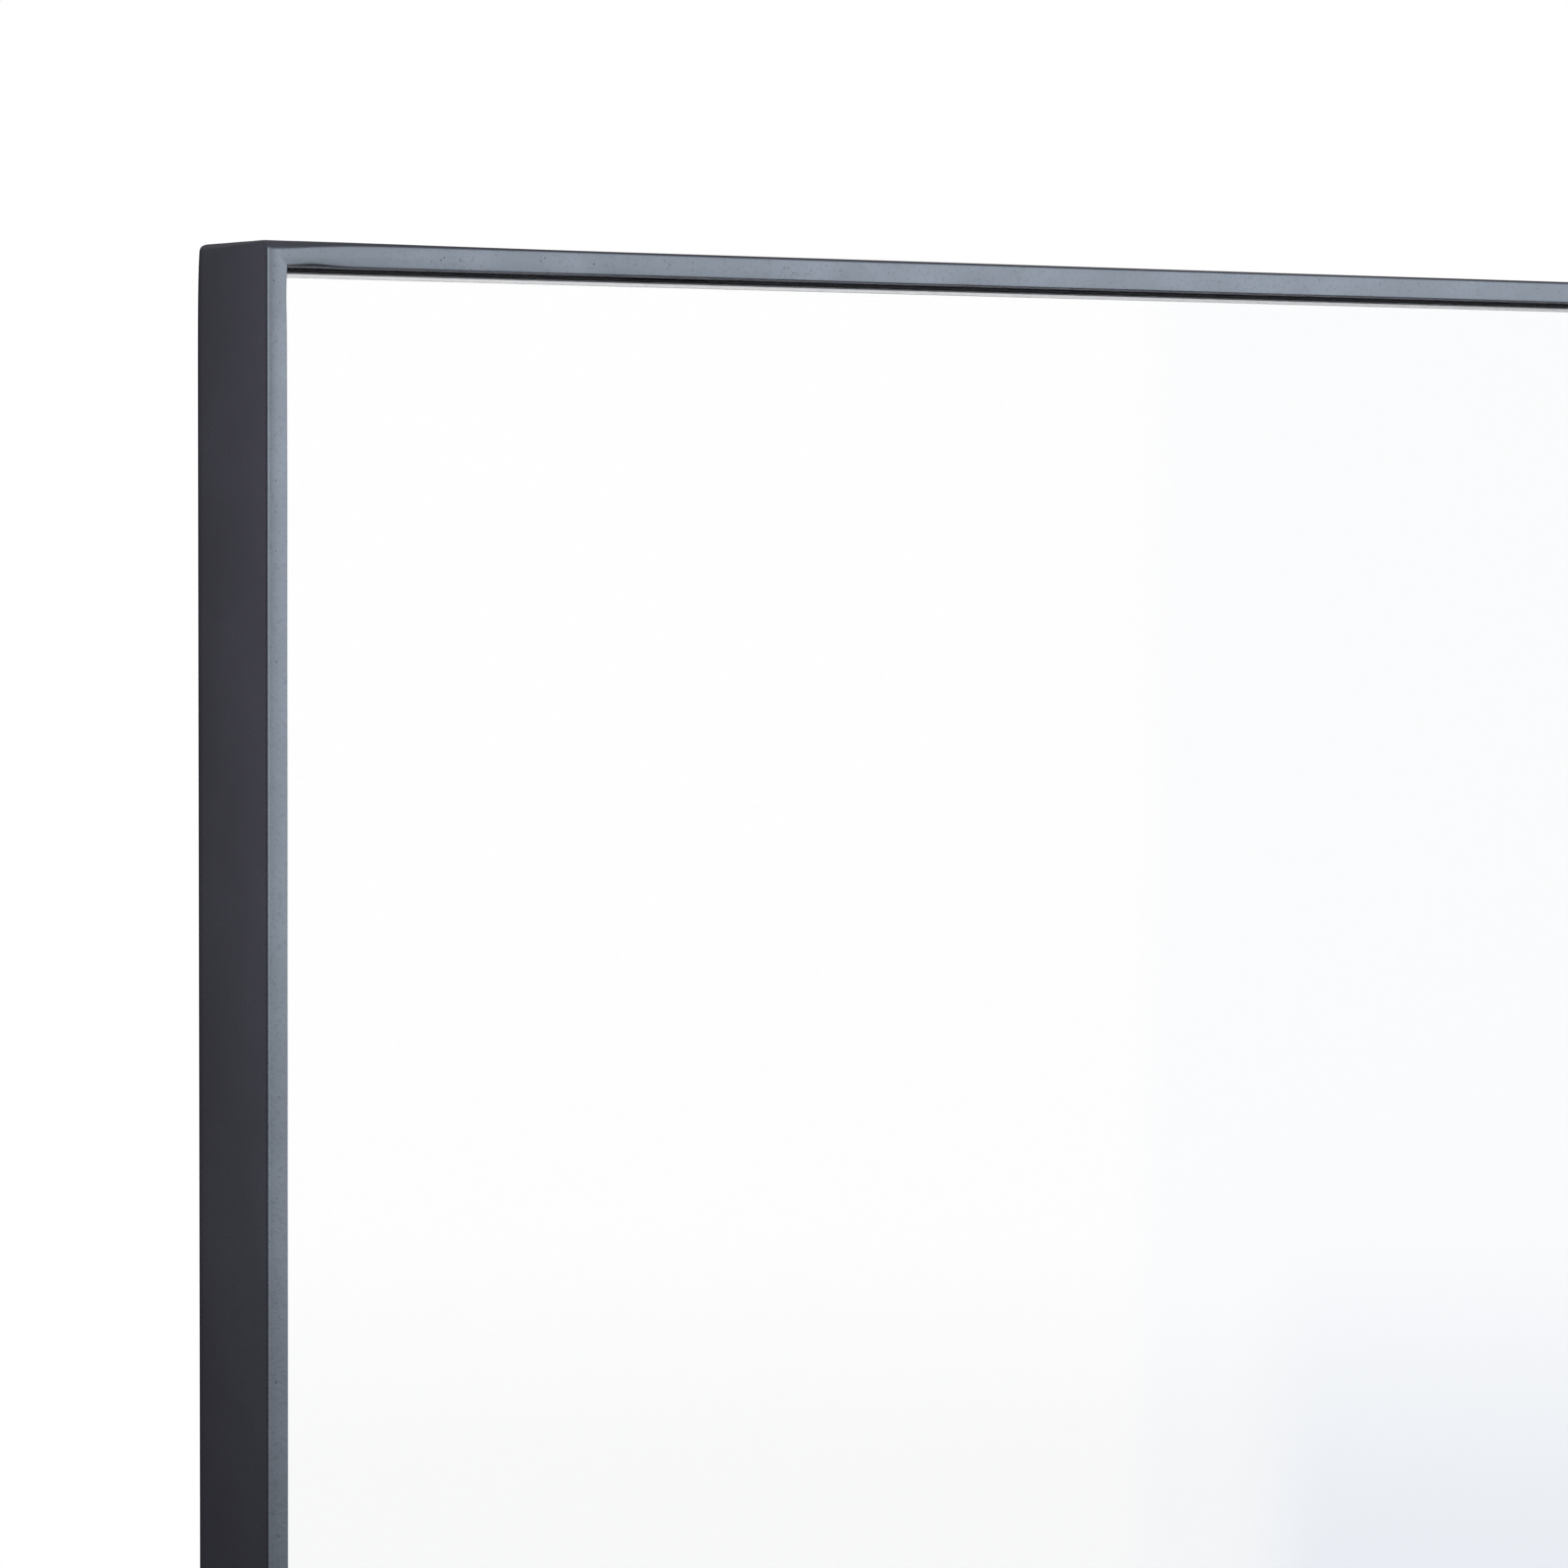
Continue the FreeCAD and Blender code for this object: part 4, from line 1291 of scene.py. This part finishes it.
def pale_floor(settings):
    """A pale floor under the mirror that keeps its shadow and stays dim in the coat's gloss."""
    bm = bmesh.new()
    bmesh.ops.create_grid(bm, x_segments=1, y_segments=1, size=settings.floor_size / 2)
    move_part(bm, (0.0, 0.0, -HALF_HEIGHT))
    mesh = bpy.data.meshes.new("floor")
    bm.to_mesh(mesh)
    bm.free()
    floor = bpy.data.objects.new("floor", mesh)
    bpy.context.scene.collection.objects.link(floor)
    material, tree, shader = new_material("pale_floor")
    grain = use_group(tree, surface_grain, Scale=300.0, Slow_Scale=2.0)
    feed(tree, shader, {
        "Base Color": blend_tones(tree, grain["Tone"], settings.floor_colour, 1.0, 0.97),
        "Roughness": FLOOR_ROUGHNESS})
    path = tree.nodes.new("ShaderNodeLightPath").outputs
    shown = math_node(tree, "MAXIMUM", path["Is Camera Ray"], path["Is Transmission Ray"])
    glossy = times(tree, path["Is Glossy Ray"], math_node(tree, "SUBTRACT", 1.0, shown))
    axes = object_axes(tree)
    rearward = ramp(tree, axes["Y"], 0.0, FLOOR_PALES * settings.floor_size)
    rightward = ramp(tree, axes["X"], -2 * HALF_WIDTH, HALF_WIDTH)
    gloss = blend_colour(
        tree, times(tree, rearward, rightward), colour(settings.ground_colour),
        colour(settings.wall_colour))
    white, dim = (
        add_node(tree, "ShaderNodeEmission", {"Color": look, "Strength": 1.0}).outputs["Emission"]
        for look in (WHITE, gloss))
    lit = add_node(tree, "ShaderNodeMixShader", {
        "Fac": times(tree, shown, settings.floor_glow), 1: shader.outputs["BSDF"], 2: white})
    mixed = add_node(tree, "ShaderNodeMixShader", {
        "Fac": glossy, 1: lit.outputs["Shader"], 2: dim})
    output = next(node for node in tree.nodes if node.type == "OUTPUT_MATERIAL")
    tree.links.new(mixed.outputs["Shader"], output.inputs["Surface"])
    mesh.materials.append(material)


def soft_lamp(name, place, power, light):
    """A soft square lamp that faces the mirror and isn't seen in its gloss."""
    data = bpy.data.lights.new(name, "AREA")
    data.shape = "SQUARE"
    data.size = LAMP_SIZE
    data.energy = power
    data.color = light
    lamp = bpy.data.objects.new(name, data)
    lamp.location = place
    lamp.rotation_euler = (-Vector(place)).to_track_quat("-Z", "Y").to_euler()
    lamp.visible_glossy = False
    bpy.context.scene.collection.objects.link(lamp)


def photo_camera(settings):
    """The camera, at the photograph's place and angle."""
    turn, tilt, roll = settings.camera_turn, settings.camera_tilt, settings.camera_roll
    ahead = Vector((
        math.sin(turn) * math.cos(tilt), math.cos(turn) * math.cos(tilt), math.sin(tilt)))
    level = Vector((math.cos(turn), -math.sin(turn), 0.0))
    upright = level.cross(ahead)
    right = math.cos(roll) * level + math.sin(roll) * upright
    up = -math.sin(roll) * level + math.cos(roll) * upright
    data = bpy.data.cameras.new("photo_camera")
    data.sensor_width = SENSOR_WIDTH
    data.lens = settings.lens
    data.clip_start = CLIP_START
    camera = bpy.data.objects.new("photo_camera", data)
    axes = Matrix((right, up, -ahead)).transposed().to_4x4()
    camera.matrix_world = Matrix.Translation(Vector(settings.camera_place)) @ axes
    bpy.context.scene.collection.objects.link(camera)
    bpy.context.scene.camera = camera


# Operators


class WALLMIRROR_OT_frame(bpy.types.Operator):
    """Build the four ground and coated bars, their welds and their tabs"""

    bl_idname = "wall_mirror.frame"
    bl_label = "Welded frame"

    def execute(self, context):
        settings = context.scene.wall_mirror.frame
        coat = bar_coat("dark_metallic_coat", settings.coat_colour, settings.coat_roughness)
        # The reveal coat: a darker copy with painted shade, paler towards the glass with painted
        # light
        shaded_reveal_coat = bar_coat(
            "reveal_coat_painted_shade", settings.dry_colour, settings.dry_roughness,
            settings.deep_colour)
        for node in BARS:
            dressed_bar(node, settings, coat, shaded_reveal_coat)
        hardware = context.scene.wall_mirror.hardware
        rippled_welds(coat, hardware)
        formed_tabs(coat, hardware)
        return {"FINISHED"}


class WALLMIRROR_OT_glass(bpy.types.Operator):
    """Build the seamed glass and its silvering"""

    bl_idname = "wall_mirror.glass"
    bl_label = "Mirror glass"

    def execute(self, context):
        settings = context.scene.wall_mirror.mirror
        seamed_glass(settings)
        silver_layer(settings)
        return {"FINISHED"}


class WALLMIRROR_OT_backing(bpy.types.Operator):
    """Finish the film, tape, blocks and board behind the glass, and build the bumpers"""

    bl_idname = "wall_mirror.backing"
    bl_label = "Backing"

    def execute(self, context):
        settings = context.scene.wall_mirror
        coat_node("safety_film", woven_film(settings.mirror))
        coat_node("foam_tape", foam(settings.mirror))
        coat_node("backing_board", fibreboard(settings.mirror))
        rubber = soft_rubber(settings.hardware)
        coat_node("setting_blocks", rubber)
        moulded_bumpers(rubber, settings.hardware)
        return {"FINISHED"}


class WALLMIRROR_OT_screws(bpy.types.Operator):
    """Build the pan-head screws of the board and of the hangers"""

    bl_idname = "wall_mirror.screws"
    bl_label = "Screws"

    def execute(self, context):
        settings = context.scene.wall_mirror.hardware
        zinc = plated_steel(
            "zinc_plate", settings.zinc_colour, roughness=0.34, scratch=(1.0, 1.0, 1.0))
        for node in ("board_screws", "hanger_screws"):
            pan_screws(node, zinc, settings)
        return {"FINISHED"}


class WALLMIRROR_OT_hangers(bpy.types.Operator):
    """Build the folded straps and finish the wire rings"""

    bl_idname = "wall_mirror.hangers"
    bl_label = "Hangers"

    def execute(self, context):
        settings = context.scene.wall_mirror.hardware
        nickel = plated_steel(
            "nickel_plate", settings.nickel_colour, roughness=0.22, scratch=(1.0, 1.0, 0.12))
        for hanger in HANGERS:
            folded_strap(hanger, nickel, settings)
            coat_node("ring_" + hanger, nickel)
        return {"FINISHED"}


class WALLMIRROR_OT_stage(bpy.types.Operator):
    """Set the floor, the soft studio light and the camera"""

    bl_idname = "wall_mirror.stage"
    bl_label = "Stage"

    def execute(self, context):
        settings = context.scene.wall_mirror.stage
        context.scene.view_settings.view_transform = "Standard"
        white_studio(settings)
        pale_floor(settings)
        for name, place, part, light in LAMPS:
            soft_lamp(name, place, part * settings.key_power, light)
        photo_camera(settings)
        return {"FINISHED"}


class WALLMIRROR_PT_panel(bpy.types.Panel):
    """Steps that dress the wall mirror"""

    bl_idname = "WALLMIRROR_PT_panel"
    bl_label = "Wall mirror"
    bl_space_type = "VIEW_3D"
    bl_region_type = "UI"
    bl_category = "Mirror"

    def draw(self, context):
        column = self.layout.column(align=True)
        for step in STEPS:
            column.operator(step.bl_idname)
        settings = context.scene.wall_mirror
        for group in (settings.frame, settings.mirror, settings.hardware, settings.stage):
            box = self.layout.box()
            for name in group.__annotations__:
                box.prop(group, name)


STEPS = (
    WALLMIRROR_OT_frame,
    WALLMIRROR_OT_glass,
    WALLMIRROR_OT_backing,
    WALLMIRROR_OT_screws,
    WALLMIRROR_OT_hangers,
    WALLMIRROR_OT_stage,
)
CLASSES = (
    FrameSettings,
    MirrorSettings,
    HardwareSettings,
    StageSettings,
    WallMirrorSettings,
    *STEPS,
    WALLMIRROR_PT_panel,
)


def register():
    for cls in CLASSES:
        bpy.utils.register_class(cls)
    bpy.types.Scene.wall_mirror = PointerProperty(type=WallMirrorSettings)


def unregister():
    del bpy.types.Scene.wall_mirror
    for cls in reversed(CLASSES):
        bpy.utils.unregister_class(cls)


def main():
    register()
    bpy.ops.wall_mirror.frame()
    bpy.ops.wall_mirror.glass()
    bpy.ops.wall_mirror.backing()
    bpy.ops.wall_mirror.screws()
    bpy.ops.wall_mirror.hangers()
    bpy.ops.wall_mirror.stage()
    bpy.context.view_layer.update()


if __name__ == "__main__":
    main()
